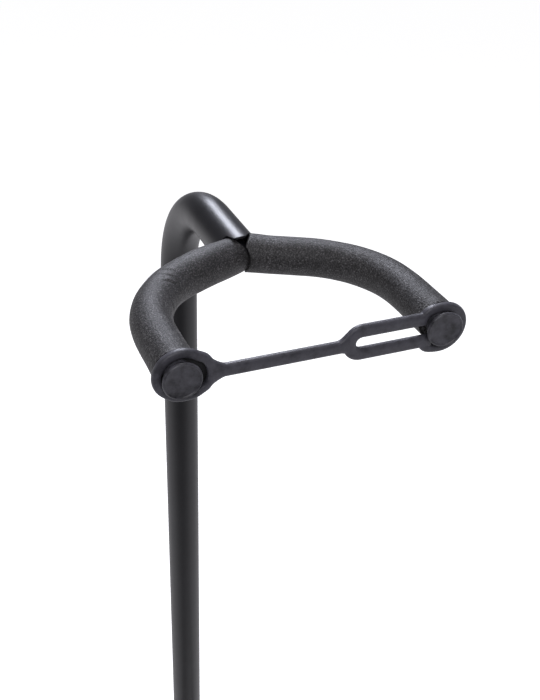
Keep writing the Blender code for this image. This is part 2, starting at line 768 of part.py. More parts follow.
def hub():
    """Moulded hub: a sleeve on the upright, three forks for the legs and half a cradle bearing."""
    body = turned(
        "hub",
        [
            (HUB_R - EDGE, HUB_TOP_Z),
            (HUB_R, HUB_TOP_Z - EDGE),
            (HUB_R, HUB_BOTTOM_Z + EDGE),
            (HUB_R - EDGE, HUB_BOTTOM_Z),
            (OUTER_TUBE_R + CLEARANCE, HUB_BOTTOM_Z),
            (OUTER_TUBE_R + CLEARANCE, HUB_TOP_Z),
        ],
        Matrix(),
        ring=True,
    )
    pivot = (PIVOT_RADIUS, PIVOT_Z)
    root = OUTER_TUBE_R + HUB_WALL / 3
    nose = arc(pivot, LUG_R, -math.pi / 2, math.pi / 2, 10)
    lug = [(root, PIVOT_Z - LUG_R - LUG_FLARE)] + nose + [(root, PIVOT_Z + LUG_R + LUG_FLARE)]
    slot_r = TONGUE_R + CLEARANCE
    away = 3 * LUG_R
    open_dir = (math.sin(LEG_TILT), -math.cos(LEG_TILT))
    over = arc(pivot, slot_r, math.pi, LEG_TILT, 8)
    slot = over + [
        (over[-1][0] + away * open_dir[0], over[-1][1] + away * open_dir[1]),
        (over[0][0] + away, over[0][1] - 2 * away),
        (over[0][0], over[0][1] - 2 * away),
    ]
    for name, angle in leg_angles().items():
        place = frame_at(Vector((0, 0, 0)), outward(angle), Z)
        combine(body, plate("lug_" + name, [lug], LUG_WIDTH, LUG_CHAMFER, place), "UNION")
    face_y = CROSSBAR_Y + CLEARANCE / 2
    saddle = block(
        "saddle",
        (-SADDLE_WIDTH / 2, face_y, CROSSBAR_Z - SADDLE_HALF_HEIGHT),
        (SADDLE_WIDTH / 2, -OUTER_TUBE_R, CROSSBAR_Z + SADDLE_HALF_HEIGHT),
    )
    bevel = saddle.modifiers.new("edges", "BEVEL")
    bevel.width = EDGE
    bevel.segments = 1
    combine(body, saddle, "UNION")
    height = HUB_TOP_Z - HUB_BOTTOM_Z
    middle = Vector((0, 0, HUB_BOTTOM_Z + height / 2))
    combine(body, cylinders("tube_bore", [middle], Z, OUTER_TUBE_R + CLEARANCE, 2 * height, TURN_STEPS))
    for name, angle in leg_angles().items():
        place = frame_at(Vector((0, 0, 0)), outward(angle), Z)
        combine(body, whole_faces(plate("slot_" + name, [slot], TONGUE_T + 2 * CLEARANCE, 0, place)))
        spot = outward(angle) * PIVOT_RADIUS + Z * PIVOT_Z
        across = Z.cross(outward(angle))
        combine(body, cylinders("pin_" + name, [spot], across, PIN_R + CLEARANCE, 2 * LUG_WIDTH, HOLE_SIDES))
    combine(body, crossbar_bore())
    combine(body, stop_slot())
    combine(body, saddle_screw_holes())
    spot = Vector((0, HUB_R - HUB_WALL / 2, PIVOT_Z + HUB_SCREW_RISE))
    combine(body, cylinders("screw_hole", [spot], Y, SCREW_R + CLEARANCE, 2 * HUB_WALL, HOLE_SIDES))
    finished(body, "nylon")


def crossbar_bore():
    spot = Vector((0, CROSSBAR_Y, CROSSBAR_Z))
    return cylinders("bore", [spot], X, CRADLE_TUBE_R + CLEARANCE, 2 * SADDLE_WIDTH, TURN_STEPS)


def stop_slot():
    """Slot in which the stop pin swings: its lower end carries the cradle."""
    half = STOP_PIN_R + CLEARANCE
    return block(
        "stop_slot",
        (-half, CROSSBAR_Y - 2 * STOP_PIN_REACH, CROSSBAR_Z - half),
        (half, CROSSBAR_Y + 2 * half, CROSSBAR_Z + 2 * SADDLE_HALF_HEIGHT),
    )


def saddle_screw_spots():
    offset = SADDLE_HALF_HEIGHT - SCREW_HEAD_R - EDGE
    return [
        Vector((x, CROSSBAR_Y - CLEARANCE / 2 - SADDLE_FLANGE_T, CROSSBAR_Z + z))
        for x in (-SCREW_SPACING / 2, SCREW_SPACING / 2)
        for z in (-offset, offset)
    ]


def saddle_screw_holes():
    depth = SCREW_LENGTH + CLEARANCE
    spots = [spot + Y * (depth - EDGE) / 2 for spot in saddle_screw_spots()]
    return cylinders("screw_holes", spots, Y, SCREW_R + CLEARANCE, depth + EDGE, HOLE_SIDES)


def saddle_cap():
    """Front half of the cradle bearing: a domed strap with two flanges, held by four screws."""
    back = CROSSBAR_Y - CLEARANCE / 2
    front = back - SADDLE_FLANGE_T
    lean = math.acos((CROSSBAR_Y - front) / DOME_R)
    dome = arc((CROSSBAR_Y, CROSSBAR_Z), DOME_R, math.pi - lean, math.pi + lean, 10)
    top, bottom = CROSSBAR_Z + SADDLE_HALF_HEIGHT, CROSSBAR_Z - SADDLE_HALF_HEIGHT
    outline = [(front, top)] + dome + [(front, bottom), (back, bottom), (back, top)]
    cap = plate("saddle_cap", [outline], SADDLE_WIDTH, FINE_EDGE, frame_at(Vector((0, 0, 0)), Y, Z))
    combine(cap, crossbar_bore())
    combine(cap, stop_slot())
    finished(combine(cap, saddle_screw_holes()), "nylon")

    for number, spot in enumerate(saddle_screw_spots(), 1):
        screw(f"saddle_screw_{number}", spot - Y * CLEARANCE, SCREW_LENGTH, -Y)


def screw(name, seat, length, out):
    """Round-headed screw whose head rests at its seat."""
    profile = [
        (0, SCREW_HEAD_T),
        (SCREW_HEAD_R * 0.6, SCREW_HEAD_T * 0.85),
        (SCREW_HEAD_R, SCREW_HEAD_T * 0.3),
        (SCREW_HEAD_R, 0),
        (SCREW_R, 0),
        (SCREW_R, -length),
        (0, -length),
    ]
    finished(turned(name, profile, facing(seat, out), HOLE_SIDES), "zinc")


def cradle():
    """Bent tube that carries the guitar's body, with foam, end caps and a stop pin."""
    origin = Matrix.Translation((0, CROSSBAR_Y, CROSSBAR_Z))
    half = route(
        (0, 0, 0),
        X,
        [
            ("run", CRADLE_HALF_WIDTH - CRADLE_CORNER_R),
            ("bend", CRADLE_CORNER_R, -Z, math.pi / 2),
            ("run", CRADLE_REACH - CRADLE_CORNER_R - CRADLE_TIP_R),
            ("bend", CRADLE_TIP_R, -X, CRADLE_TIP_ANGLE),
            ("run", CRADLE_TIP_RUN),
        ],
        CRADLE_BEND_STEP,
    )
    total = length_of(half)
    tube_half = stretch(half, CRADLE_HALF_WIDTH - CRADLE_CORNER_R, total - CRADLE_CAP_FACE - CLEARANCE)
    centreline = mirrored(tube_half)[::-1] + tube_half
    tube = pipe("cradle_tube", centreline, CRADLE_TUBE_R, CRADLE_TUBE_WALL, CRADLE_SIDES, origin)
    hole_at = Vector((0, CROSSBAR_Y - CRADLE_TUBE_R, CROSSBAR_Z))
    hole = cylinders("pin_hole", [hole_at], Y, STOP_PIN_R + CLEARANCE, CRADLE_TUBE_R, HOLE_SIDES)
    finished(combine(tube, hole), "black_paint")

    pin = turned(
        "cradle_stop_pin",
        [
            (0, STOP_PIN_REACH),
            (STOP_PIN_R - FINE_EDGE, STOP_PIN_REACH),
            (STOP_PIN_R, STOP_PIN_REACH - FINE_EDGE),
            (STOP_PIN_R, STOP_PIN_DEPTH),
            (0, STOP_PIN_DEPTH),
        ],
        facing(Vector((0, CROSSBAR_Y, CROSSBAR_Z)), -Y),
        steps=HOLE_SIDES,
    )
    finished(pin, "zinc")

    corner_end = CRADLE_HALF_WIDTH - CRADLE_CORNER_R + CRADLE_CORNER_R * math.pi / 2
    foam_run = stretch(half, corner_end + CRADLE_FOAM_GAP, total - CRADLE_CAP_T - CLEARANCE)
    wall = CRADLE_FOAM_R - CRADLE_TUBE_R - CLEARANCE
    tip, before = half[-1], half[-2]
    heading = (tip - before).normalized()
    cap_r = CRADLE_FOAM_R
    profile = [
        (0, 0),
        (cap_r * 0.68, -CRADLE_CAP_T * 0.04),
        (cap_r * 0.89, -CRADLE_CAP_T * 0.19),
        (cap_r, -CRADLE_CAP_T * 0.5),
        (cap_r, -CRADLE_CAP_T),
        (CRADLE_TUBE_R + CLEARANCE, -CRADLE_CAP_T),
        (CRADLE_TUBE_R + CLEARANCE, -CRADLE_CAP_FACE),
        (0, -CRADLE_CAP_FACE),
    ]
    for side, sign, points in (("left", -1, mirrored(foam_run)), ("right", 1, foam_run)):
        foam = pipe("cradle_foam_" + side, points, CRADLE_FOAM_R, wall, CRADLE_SIDES, origin)
        finished(foam, "foam")
        spot = Vector((sign * tip.x, tip.y + CROSSBAR_Y, tip.z + CROSSBAR_Z))
        finished(turned("cradle_cap_" + side, profile, facing(spot, heading), CRADLE_SIDES), "rubber")


def leg(name, angle):
    """Leg tube, its knuckle in the hub's fork, the rivet it turns on and a rubber foot.

    Each piece's own origin is the pivot; its own Z runs down the leg and its own Y is the pin's axis.
    """
    out = outward(angle)
    pin_axis = Z.cross(out)
    along = out * math.sin(LEG_TILT) - Z * math.cos(LEG_TILT)
    place = frame_at(out * PIVOT_RADIUS + Z * PIVOT_Z, pin_axis.cross(along), pin_axis)

    plug_r = LEG_TUBE_R - LEG_TUBE_WALL - CLEARANCE
    shoulder = LEG_TUBE_START - CLEARANCE
    root = shoulder - COLLAR_T / 2
    tongue = arc((0, 0), TONGUE_R, math.pi, 2 * math.pi, 10) + [(TONGUE_R, root), (-TONGUE_R, root)]
    side_on = place @ Matrix(((1, 0, 0, 0), (0, 0, -1, 0), (0, 1, 0, 0), (0, 0, 0, 1)))
    knuckle = plate("leg_knuckle_" + name, [tongue], TONGUE_T, FINE_EDGE, side_on)
    plug = turned(
        "plug",
        [
            (0, shoulder + KNUCKLE_PLUG),
            (plug_r - EDGE, shoulder + KNUCKLE_PLUG),
            (plug_r, shoulder + KNUCKLE_PLUG - EDGE),
            (plug_r, shoulder),
            (LEG_TUBE_R, shoulder),
            (LEG_TUBE_R, shoulder - COLLAR_T + EDGE),
            (LEG_TUBE_R - EDGE, shoulder - COLLAR_T),
            (0, shoulder - COLLAR_T),
        ],
        place,
        steps=LEG_SIDES,
    )
    combine(knuckle, plug, "UNION")
    pivot_at = place.translation.copy()
    hole = cylinders("pin_hole", [pivot_at], pin_axis, PIN_R + CLEARANCE, 2 * TONGUE_T, HOLE_SIDES)
    finished(combine(knuckle, hole), "nylon")

    shank = LUG_WIDTH / 2 + CLEARANCE
    rivet = [
        (0, shank + PIN_HEAD_T),
        (PIN_HEAD_R * 0.6, shank + PIN_HEAD_T * 0.8),
        (PIN_HEAD_R, shank),
        (PIN_R, shank),
        (PIN_R, -shank),
        (PIN_HEAD_R, -shank),
        (PIN_HEAD_R * 0.6, -shank - PIN_HEAD_T * 0.8),
        (0, -shank - PIN_HEAD_T),
    ]
    finished(turned("leg_pin_" + name, rivet, facing(pivot_at, pin_axis), HOLE_SIDES), "zinc")

    sole = (FOOT_SOLE + LEG_TUBE_R * math.sin(LEG_TILT)) / math.cos(LEG_TILT)
    tube_end = LEG_TO_FLOOR - sole
    tube = pipe(
        "leg_tube_" + name,
        [Vector((0, 0, LEG_TUBE_START)), Vector((0, 0, tube_end))],
        LEG_TUBE_R,
        LEG_TUBE_WALL,
        LEG_SIDES,
        place,
    )
    finished(tube, "black_paint")

    foot_r = LEG_TUBE_R + FOOT_WALL
    end = LEG_TO_FLOOR + FOOT_OVERHANG
    mouth = tube_end - FOOT_SOCKET
    bore = LEG_TUBE_R + CLEARANCE
    foot = turned(
        "foot_" + name,
        [
            (0, end),
            (foot_r * 0.55, end - FOOT_DOME * 0.07),
            (foot_r * 0.85, end - FOOT_DOME * 0.37),
            (foot_r, end - FOOT_DOME),
            (foot_r, mouth + FOOT_TAPER),
            (foot_r - FOOT_TAPER * 0.3, mouth),
            (bore, mouth),
            (bore, tube_end + CLEARANCE),
            (0, tube_end + CLEARANCE),
        ],
        place,
    )
    width = 2 * LEG_REACH
    under_floor = block("under_floor", (-width, -width, -width), (width, width, 0))
    finished(combine(foot, under_floor), "rubber")


def box_of(objects):
    """Lowest and highest Y of the finished solids."""
    graph = bpy.context.evaluated_depsgraph_get()
    spread = []
    for obj in objects:
        evaluated = obj.evaluated_get(graph)
        spread += [(evaluated.matrix_world @ v.co).y for v in evaluated.to_mesh().vertices]
        evaluated.to_mesh_clear()
    return min(spread), max(spread)


def stand_on_origin():
    """Hangs every piece on one empty and moves it until the origin is under the middle of the box."""
    root = bpy.data.objects.new("stand", None)
    PARTS.objects.link(root)
    solids = [obj for obj in PARTS.objects if obj.type == "MESH"]
    for obj in solids + list(CUTTERS.objects):
        obj.parent = root
    bpy.context.view_layer.update()
    low, high = box_of(solids)
    root.location.y = -(low + high) / 2
    bpy.context.view_layer.update()
    return root


neck_tube()
yoke()
strap()
outer_tube()
clutch()
lock_knob()
hub()
saddle_cap()
cradle()
for leg_name, leg_angle in leg_angles().items():
    leg(leg_name, leg_angle)
stand_on_origin()
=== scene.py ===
"""Looks of the folding guitar stand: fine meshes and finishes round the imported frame.

Lengths are in metres, the stand faces -Y and the floor is z = 0. Most pieces are turned round a
straight or bent axis: a profile of (distance along the axis, radius) pairs is carried round it.
"""

import json
import math

import bmesh
import bpy
import numpy as np
from mathutils import Matrix, Vector


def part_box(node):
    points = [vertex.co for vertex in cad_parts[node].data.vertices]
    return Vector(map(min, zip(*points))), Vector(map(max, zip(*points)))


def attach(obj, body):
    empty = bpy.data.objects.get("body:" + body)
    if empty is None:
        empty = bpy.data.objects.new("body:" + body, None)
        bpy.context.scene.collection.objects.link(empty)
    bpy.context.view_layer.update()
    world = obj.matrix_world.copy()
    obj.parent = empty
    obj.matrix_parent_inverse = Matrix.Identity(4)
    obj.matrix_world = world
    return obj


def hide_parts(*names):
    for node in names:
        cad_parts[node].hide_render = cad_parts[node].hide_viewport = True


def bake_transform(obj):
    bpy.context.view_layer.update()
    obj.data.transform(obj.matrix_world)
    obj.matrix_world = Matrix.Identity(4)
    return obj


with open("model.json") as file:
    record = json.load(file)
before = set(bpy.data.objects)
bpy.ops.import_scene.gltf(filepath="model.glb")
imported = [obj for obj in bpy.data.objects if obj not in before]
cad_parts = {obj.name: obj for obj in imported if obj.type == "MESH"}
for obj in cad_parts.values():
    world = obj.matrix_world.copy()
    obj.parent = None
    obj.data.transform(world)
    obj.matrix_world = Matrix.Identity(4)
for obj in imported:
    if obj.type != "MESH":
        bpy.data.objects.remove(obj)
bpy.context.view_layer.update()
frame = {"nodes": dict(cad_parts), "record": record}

X, Y, Z = np.eye(3)


def low(node):
    return np.array(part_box(node)[0])


def high(node):
    return np.array(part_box(node)[1])


def centre(node):
    return (low(node) + high(node)) / 2


# Places read from the frame
SHAFT = centre("outer_tube") * (1, 1, 0)
ROD_Z = centre("yoke_rod")[2]
NECK_BOTTOM_Z = low("neck_tube")[2]
OUTER_TOP_Z, OUTER_BOTTOM_Z = high("outer_tube")[2], low("outer_tube")[2]

# Neck tube and yoke rod
NECK_TUBE_R = 0.0095
NECK_TUBE_WALL = 0.0012
GOOSENECK_R = 0.054
GOOSENECK_RUN = 0.033
LIP_REACH = 0.0039  # the tube's upper lip reaches this far past the rod's centreline
LOWER_LIP_CUT = 0.0040  # and the lower lip ends this much earlier
LIP_CORNERS = ((0.0010, 0.00385), (0.0032, 0.0016))  # right and left: start and width, sideways
LIP_CORNER_DEPTH, LIP_CORNER_POWER, LIP_CORNER_LIMIT = 0.0044, 1.3, 1.2
COPE_LENGTH = 0.030  # along the tube, the stretch whose points make room for the cope
YOKE_ROD_R = 0.004
YOKE_SPLAY = math.radians(26)
SPLAY_SIN, SPLAY_COS = math.sin(YOKE_SPLAY), math.cos(YOKE_SPLAY)
YOKE_INNER_RUN = 0.029
YOKE_BEND_R = 0.046
YOKE_ARM_RUN = 0.0295
APEX = SHAFT + (0, -(GOOSENECK_R + GOOSENECK_RUN), ROD_Z)
CLEARANCE = 0.0003

# Foam sleeves and caps of the yoke
FOAM_R = 0.00815
SLEEVE_START = 0.0031  # along the rod from its middle
SLEEVE_PUSH = 0.0018  # how far the left sleeve pushes the right one over, at half height
SLEEVE_TILT = 0.0014  # how much shorter the right sleeve is on top
SLEEVE_TOP = 0.85  # share of the radius at which the left sleeve's bulge ends on top
SLEEVE_FADE = 0.012  # along a sleeve, the stretch whose points follow its end
SEAM_SOFT = 0.0004  # how softly a sleeve's end changes from its own start to the other sleeve
TOP_PINCH = {"left": (-0.0006, 0.0006), "right": (0.0004, 0.0)}  # on top: at the seam, further on
TOP_BULGE_AT, TOP_BULGE_WIDTH = 0.022, 0.010
FOLD_WIDTH = 0.0008
LEFT_FOLDS = (
    (0.0492, -28, 0.0044, 22, 0.00022),
    (0.0458, -12, 0.0030, 20, 0.00016),
    (0.0423, 2, 0.0022, 26, 0.00022),
    (0.0600, -80, 0.0010, 20, 0.00020),
)
RIGHT_FOLDS = ((0.0480, 60, -0.0030, 24, 0.00014), (0.0560, 85, -0.0010, 24, 0.00020))
SLEEVE_GAP = 0.0001  # between a sleeve and its cap's neck
SLEEVE_WAVE, CRADLE_WAVE = 0.00030, 0.00022
CAP_HEAD_R = 0.0073
CAP_HEAD_T = 0.0022
CAP_DISH = 0.00042  # how deep the face lies inside its rim
CAP_NECK_R = 0.0053
CAP_STEM_END = 0.0078  # the neck goes on into the foam
CAP_BORE_DEPTH = 0.0030  # where the rod's bore starts
CAP_LEAN = (0.0008, 0, -0.0011)  # the strap pulls the left head this far over
RIGHT_CAP_LEAN = (0, 0, -0.0007)
LEFT_CAP_TURN = (-0.13, 0.18)  # how steeply a head is turned, sideways and up
RIGHT_CAP_TURN = (-0.08, 0.12)
CAP_NECK_END = 0.0064
CAP_X = high("yoke_cap_right")[0] - FOAM_R - 0.0006
CAP_FACE_Y = low("yoke_cap_right")[1]

# Strap, measured sideways from the middle of the stand and up from the rod's plane
STRAP_T = 0.0030
STRAP_Y = CAP_FACE_Y + CAP_NECK_END - CLEARANCE - STRAP_T / 2
BAND_HALF = 0.0017  # half width of the rings
EYELET_AT, EYELET_R = (-0.0505, -0.0013), 0.0089
EYELET_TIP_AT, EYELET_TIP_R = (-0.0452, -0.0027), 0.0059
EYELET_SWELLS = ((28, 18, 0.0013), (-56, 18, 0.0012), (-128, 24, -0.0004))
RING_SWELLS = ((-132, 20, 0.0010), (135, 24, 0.0014))
EYELET_LIP_T, LIP_SEAT = 0.0007, 0.0004  # thickness, and how far it bites into the cap's neck
RING_AT, RING_R = (0.0526, -0.0020), 0.00885
LOOP_Z = -0.00182
LOOP_MEAN_HALF = 0.00487
LOOP_BAR_HALF = 0.00263
LOOP_START_X = 0.0186
BAR_HALF = 0.00260
BAR_Z = -0.00237
WEB_X = (-0.0405, -0.0345)
WEB_FILLET = 0.0048
WEB_RISE = 0.0005  # the web starts this far above the tip's middle
WEB_FLARE, WEB_FLARE_POWER = 0.0028, 1.4
BAR_OVERLAP = 0.004
SHOULDER_X = (0.0094, 0.0132)
SHOULDER_FLARE, SHOULDER_FLARE_POWER = 0.0022, 1.7
LOOP_TOP_SHORT, LOOP_BOTTOM_SHORT = 0.0075, 0.0041  # from its bars' ends to the ring's middle
RING_ENDS = math.radians(150)  # the ring is open towards the loop
RING_THICKER, RING_FAR_X = 0.0002, (0.052, 0.060)
TIP_THICKER, TIP_X = 0.0001, (-0.047, -0.042)  # the eyelet's band is wider at its tip
LOW_THINNER, LOW_DEPTH, LOW_X = 0.0003, (0.003, 0.007), (-0.050, -0.045)  # and narrower below it

# Rod, boss and bush inside the neck tube
APEX_FILLET_R = 0.008
ROD_END_DEPTH = 0.0033  # behind the cap's face
BOSS_R = 0.00515
BOSS_START_Y, BOSS_SHOULDER_Y, BOSS_FRONT_Y = 0.0170, 0.00695, 0.0025  # behind the apex
BUSH_LENGTH, BUSH_LIP_T, BUSH_LIP = 0.022, 0.0027, 0.001

# Outer tube, clutch and knob
OUTER_TUBE_R = 0.0127
OUTER_TUBE_WALL = 0.0015
PLUG_DEPTH, PLUG_FLANGE_T = 0.012, 0.0027
CLUTCH_R, CLUTCH_STEP = 0.0180, 0.0015
CLUTCH_BELOW, CLUTCH_ABOVE = 0.028, 0.027  # the outer tube's top
CLUTCH_BOSS_R, CLUTCH_BOSS_REACH = 0.0078, 0.0250
KNOB_Z = OUTER_TOP_Z + 0.0135
KNOB_R, KNOB_T, KNOB_LOBES, KNOB_LOBE_DEPTH = 0.0150, 0.0095, 5, 0.0022
KNOB_CORE_R, KNOB_DOME, KNOB_NECK, KNOB_SOCKET = 0.0082, 0.0012, 0.0020, 0.0075
# The rounding of the knob's edge: depth from its face and how far the edge lies further in
KNOB_EDGE = ((0.0, 0.0024), (0.0001, 0.0014), (0.0005, 0.0006), (0.0012, 0.0001), (0.0024, 0.0))
STUD_R, PAD_T = 0.004, 0.0022

# Hub, cradle bearing and screws
HUB_R = OUTER_TUBE_R + CLEARANCE + 0.0055
HUB_BOTTOM_Z, HUB_TOP_Z = low("hub")[2], high("hub")[2]
PIVOT_Z = HUB_BOTTOM_Z + 0.026
LUG_R, LUG_WIDTH, LUG_FLARE = 0.0122, 0.0194, 0.003
LUG_ROOT_R = OUTER_TUBE_R + 0.0018  # a lug starts inside the sleeve's wall
PIVOT_RADIUS = HUB_R + LUG_R + 0.001
TONGUE_R, TONGUE_T = 0.0076, 0.010
SLOT_ROOM = 0.0007  # between a tongue and its fork, whose edges are soft
LEG_REACH = 0.247
LEG_TILT = math.atan2(LEG_REACH - PIVOT_RADIUS, PIVOT_Z)  # from straight down, when open
LEG_TO_FLOOR = math.hypot(LEG_REACH - PIVOT_RADIUS, PIVOT_Z)
PIN_R, PIN_HEAD_R, PIN_HEAD_T = 0.0025, 0.0044, 0.0016
CRADLE_TUBE_R, CRADLE_TUBE_WALL = 0.00635, 0.0012
CROSSBAR_Y = -(HUB_R + 0.0090 + CLEARANCE + CRADLE_TUBE_R)
CROSSBAR_Z = PIVOT_Z + 0.035
SADDLE_WIDTH, SADDLE_FLANGE_T = 0.040, 0.005
DOME_R = CRADLE_TUBE_R + CLEARANCE + 0.0044
SADDLE_HALF_HEIGHT = DOME_R + 0.0062
SCREW_R, SCREW_LENGTH, SCREW_SPACING = 0.0020, 0.014, 0.026
SCREW_HEAD_R, SCREW_HEAD_T = 0.0031, 0.0018
HUB_SCREW_Z = PIVOT_Z + 0.045
STOP_PIN_R, STOP_PIN_REACH, STOP_PIN_DEPTH = 0.0020, 0.0140, 0.0040

# Legs, feet and cradle
LEG_ANGLES = {"rear": math.pi / 2, "left": math.radians(210), "right": math.radians(330)}
LEG_TUBE_R, LEG_TUBE_WALL, LEG_TUBE_START = 0.008, 0.0012, 0.020
KNUCKLE_PLUG, COLLAR_T = 0.024, 0.005
FOOT_WALL, FOOT_SOLE, FOOT_OVERHANG = 0.0025, 0.004, 0.004
FOOT_SOCKET, FOOT_DOME, FOOT_TAPER = 0.018, 0.006, 0.004
CRADLE_HALF_WIDTH, CRADLE_CORNER_R, CRADLE_REACH = 0.095, 0.028, 0.150
CRADLE_TIP_R, CRADLE_TIP_ANGLE, CRADLE_TIP_RUN = 0.024, math.radians(72), 0.034
CRADLE_FOAM_R, CRADLE_FOAM_GAP, CRADLE_CAP_T, CRADLE_CAP_FACE = 0.011, 0.006, 0.0075, 0.003

# Fineness
FINE = 0.0008  # spacing along a path
FILLET, SPACING, SIDES = 0.0004, 0.0015, 64
BAND_SIDES = 36
SHARP, CUT_SHARP = math.radians(40), math.radians(35)  # edges steeper than this stay crisp
LINE_STEP = 0.01  # length of a straight piece's path; the piece may go on past it
STRAP_VOXEL, CLUTCH_VOXEL, KNOB_VOXEL = 0.00022, 0.00044, 0.00030
HUB_VOXEL, SADDLE_CAP_VOXEL, KNUCKLE_VOXEL = 0.00068, 0.00034, 0.00036

# Camera: where the photograph was taken from, round the gooseneck's bend
CAMERA_FROM_BEND = (-0.127886, -0.419502, 0.231952)
CAMERA_AZIMUTH = math.radians(-23.487)
CAMERA_ELEVATION = math.radians(32.45)
CAMERA_ROLL = math.radians(2.439)
CAMERA_LENS = 930.12 / 700 * 36  # for a sensor 36 mm high and a picture of 700 lines

# Light: name, direction from the yoke, distance, size, watts and colour of each lamp
AWAY_FROM_FRONT = (0.39, 0.92, 0.0)
LEVEL_STEP = (-0.95, -0.30), (0.12, 0.90)  # the fill's level by the cosine to that direction
SHARE_STEP = (-0.35, 0.05), (1.0, 0.16)  # and its share by the direction's height
LAMP_COLOR = (0.965, 0.955, 1.0)
SKY_COLOR = (0.86, 0.885, 1.0)
FLOOR_LIFT, FLOOR_HALF, FLOOR_Z = 0.88, 15.0, -0.0004
LAMPS = [
    ("back box", (0.18, 0.77, 0.60), 1.3, (0.36, 0.40), 13, SKY_COLOR),
    ("top box", (0.10, 0.30, 1.0), 1.5, (0.5, 0.5), 5, LAMP_COLOR),
    ("left box", (-1.0, 0.5, 0.15), 1.7, (0.6, 0.6), 1, LAMP_COLOR),
    ("right box", (1.0, 0.1, 0.15), 1.7, (0.5, 0.8), 4, SKY_COLOR),
    ("front box", (-0.35, -1.0, 0.9), 1.8, (1.2, 0.6), 13, LAMP_COLOR),
]


def unit(v):
    return v / np.linalg.norm(v, axis=-1, keepdims=True)


def route(start, heading, moves):
    """Points along straight runs and round bends.

    A run goes on along the heading. A bend of radius r about an axis turns the point round the
    centre that lies r to the side, by cos and sin of the angle walked.
    """
    point, heading = np.array(start, float), np.array(heading, float)
    found = [point[None]]
    for kind, *sizes in moves:
        if kind == "run":
            walked = np.linspace(0, sizes[0], max(2, int(sizes[0] / FINE)))[1:, None]
            found.append(point + heading * walked)
            point = found[-1][-1]
            continue
        radius, axis, angle = sizes
        middle = point + radius * np.cross(axis, heading)
        out = point - middle
        walked = np.linspace(0, angle, max(3, int(radius * angle / FINE)))[1:, None]
        found.append(middle + np.cos(walked) * out + np.sin(walked) * np.cross(axis, out))
        point = found[-1][-1]
        heading = math.cos(angle) * heading + math.sin(angle) * np.cross(axis, heading)
    return np.concatenate(found)


def walked_along(points):
    """Distance along a path at each of its points."""
    steps = np.linalg.norm(np.diff(points, axis=0), axis=1)
    return np.concatenate([[0], np.cumsum(steps)])


def carried_sides(points):
    """Two directions square to a path at each point, carried along it without twist."""
    ahead = unit(np.gradient(points, axis=0))
    sides = np.empty_like(points)
    side = np.eye(3)[np.argmin(np.abs(ahead[0]))]
    for i, direction in enumerate(ahead):
        side = unit(side - direction * (side @ direction))
        sides[i] = side
    return ahead, sides, np.cross(ahead, sides)


def filleted(profile, radius, steps=4):
    """A profile with each corner rounded: a quadratic curve between points a radius before and after it."""
    profile = np.array(profile, float)
    kept = [profile[:1]]
    for before, corner, after in zip(profile, profile[1:], profile[2:]):
        back, on = before - corner, after - corner
        reach = min(radius, 0.45 * np.linalg.norm(back), 0.45 * np.linalg.norm(on))
        start, end = corner + unit(back) * reach, corner + unit(on) * reach
        t = np.linspace(0, 1, steps + 1)[:, None]
        kept.append((1 - t) ** 2 * start + 2 * t * (1 - t) * corner + t**2 * end)
    kept.append(profile[-1:])
    return np.concatenate(kept)


def densified(profile, spacing):
    """A profile with points added along its longer stretches."""
    found = [profile[:1]]
    for a, b in zip(profile, profile[1:]):
        count = max(1, math.ceil(abs(b[0] - a[0]) / spacing))
        found.append(a + (b - a) * np.linspace(0, 1, count + 1)[1:, None])
    return np.concatenate(found)


def grid_faces(rows, columns, closed_rows):
    """Corner numbers of the quads between neighbouring points of a grid whose columns close."""
    row = np.arange(rows if closed_rows else rows - 1)[:, None]
    column = np.arange(columns)[None, :]
    after_row, after_column = (row + 1) % rows, (column + 1) % columns
    quads = [row * columns + column, row * columns + after_column]
    quads += [after_row * columns + after_column, after_row * columns + column]
    return np.stack(np.broadcast_arrays(*quads), axis=-1).reshape(-1, 4)


def build(name, points, faces):
    """A mesh object at the origin from point and face arrays, smooth but for its sharp edges."""
    mesh = bpy.data.meshes.new(name)
    mesh.from_pydata(np.asarray(points).tolist(), [], [list(map(int, f)) for f in faces])
    bm = bmesh.new()
    bm.from_mesh(mesh)
    bmesh.ops.remove_doubles(bm, verts=bm.verts, dist=1e-7)
    bmesh.ops.recalc_face_normals(bm, faces=bm.faces)
    bm.to_mesh(mesh)
    bm.free()
    mesh.shade_smooth()
    mesh.set_sharp_from_angle(angle=SHARP)
    obj = bpy.data.objects.new(name, mesh)
    bpy.context.collection.objects.link(obj)
    return obj


def skin(name, rings, closed=False):
    """A surface over rings of points. An open row of rings is closed by a fan at each end."""
    rows, columns = rings.shape[:2]
    points = rings.reshape(-1, 3)
    faces = [list(f) for f in grid_faces(rows, columns, closed)]
    if not closed:
        for row, order in ((0, -1), (rows - 1, 1)):
            middle = len(points)
            points = np.vstack([points, rings[row].mean(0)])
            around = [row * columns + c for c in range(columns)][::order]
            faces += [[a, b, middle] for a, b in zip(around, around[1:] + around[:1])]
    return build(name, points, faces)


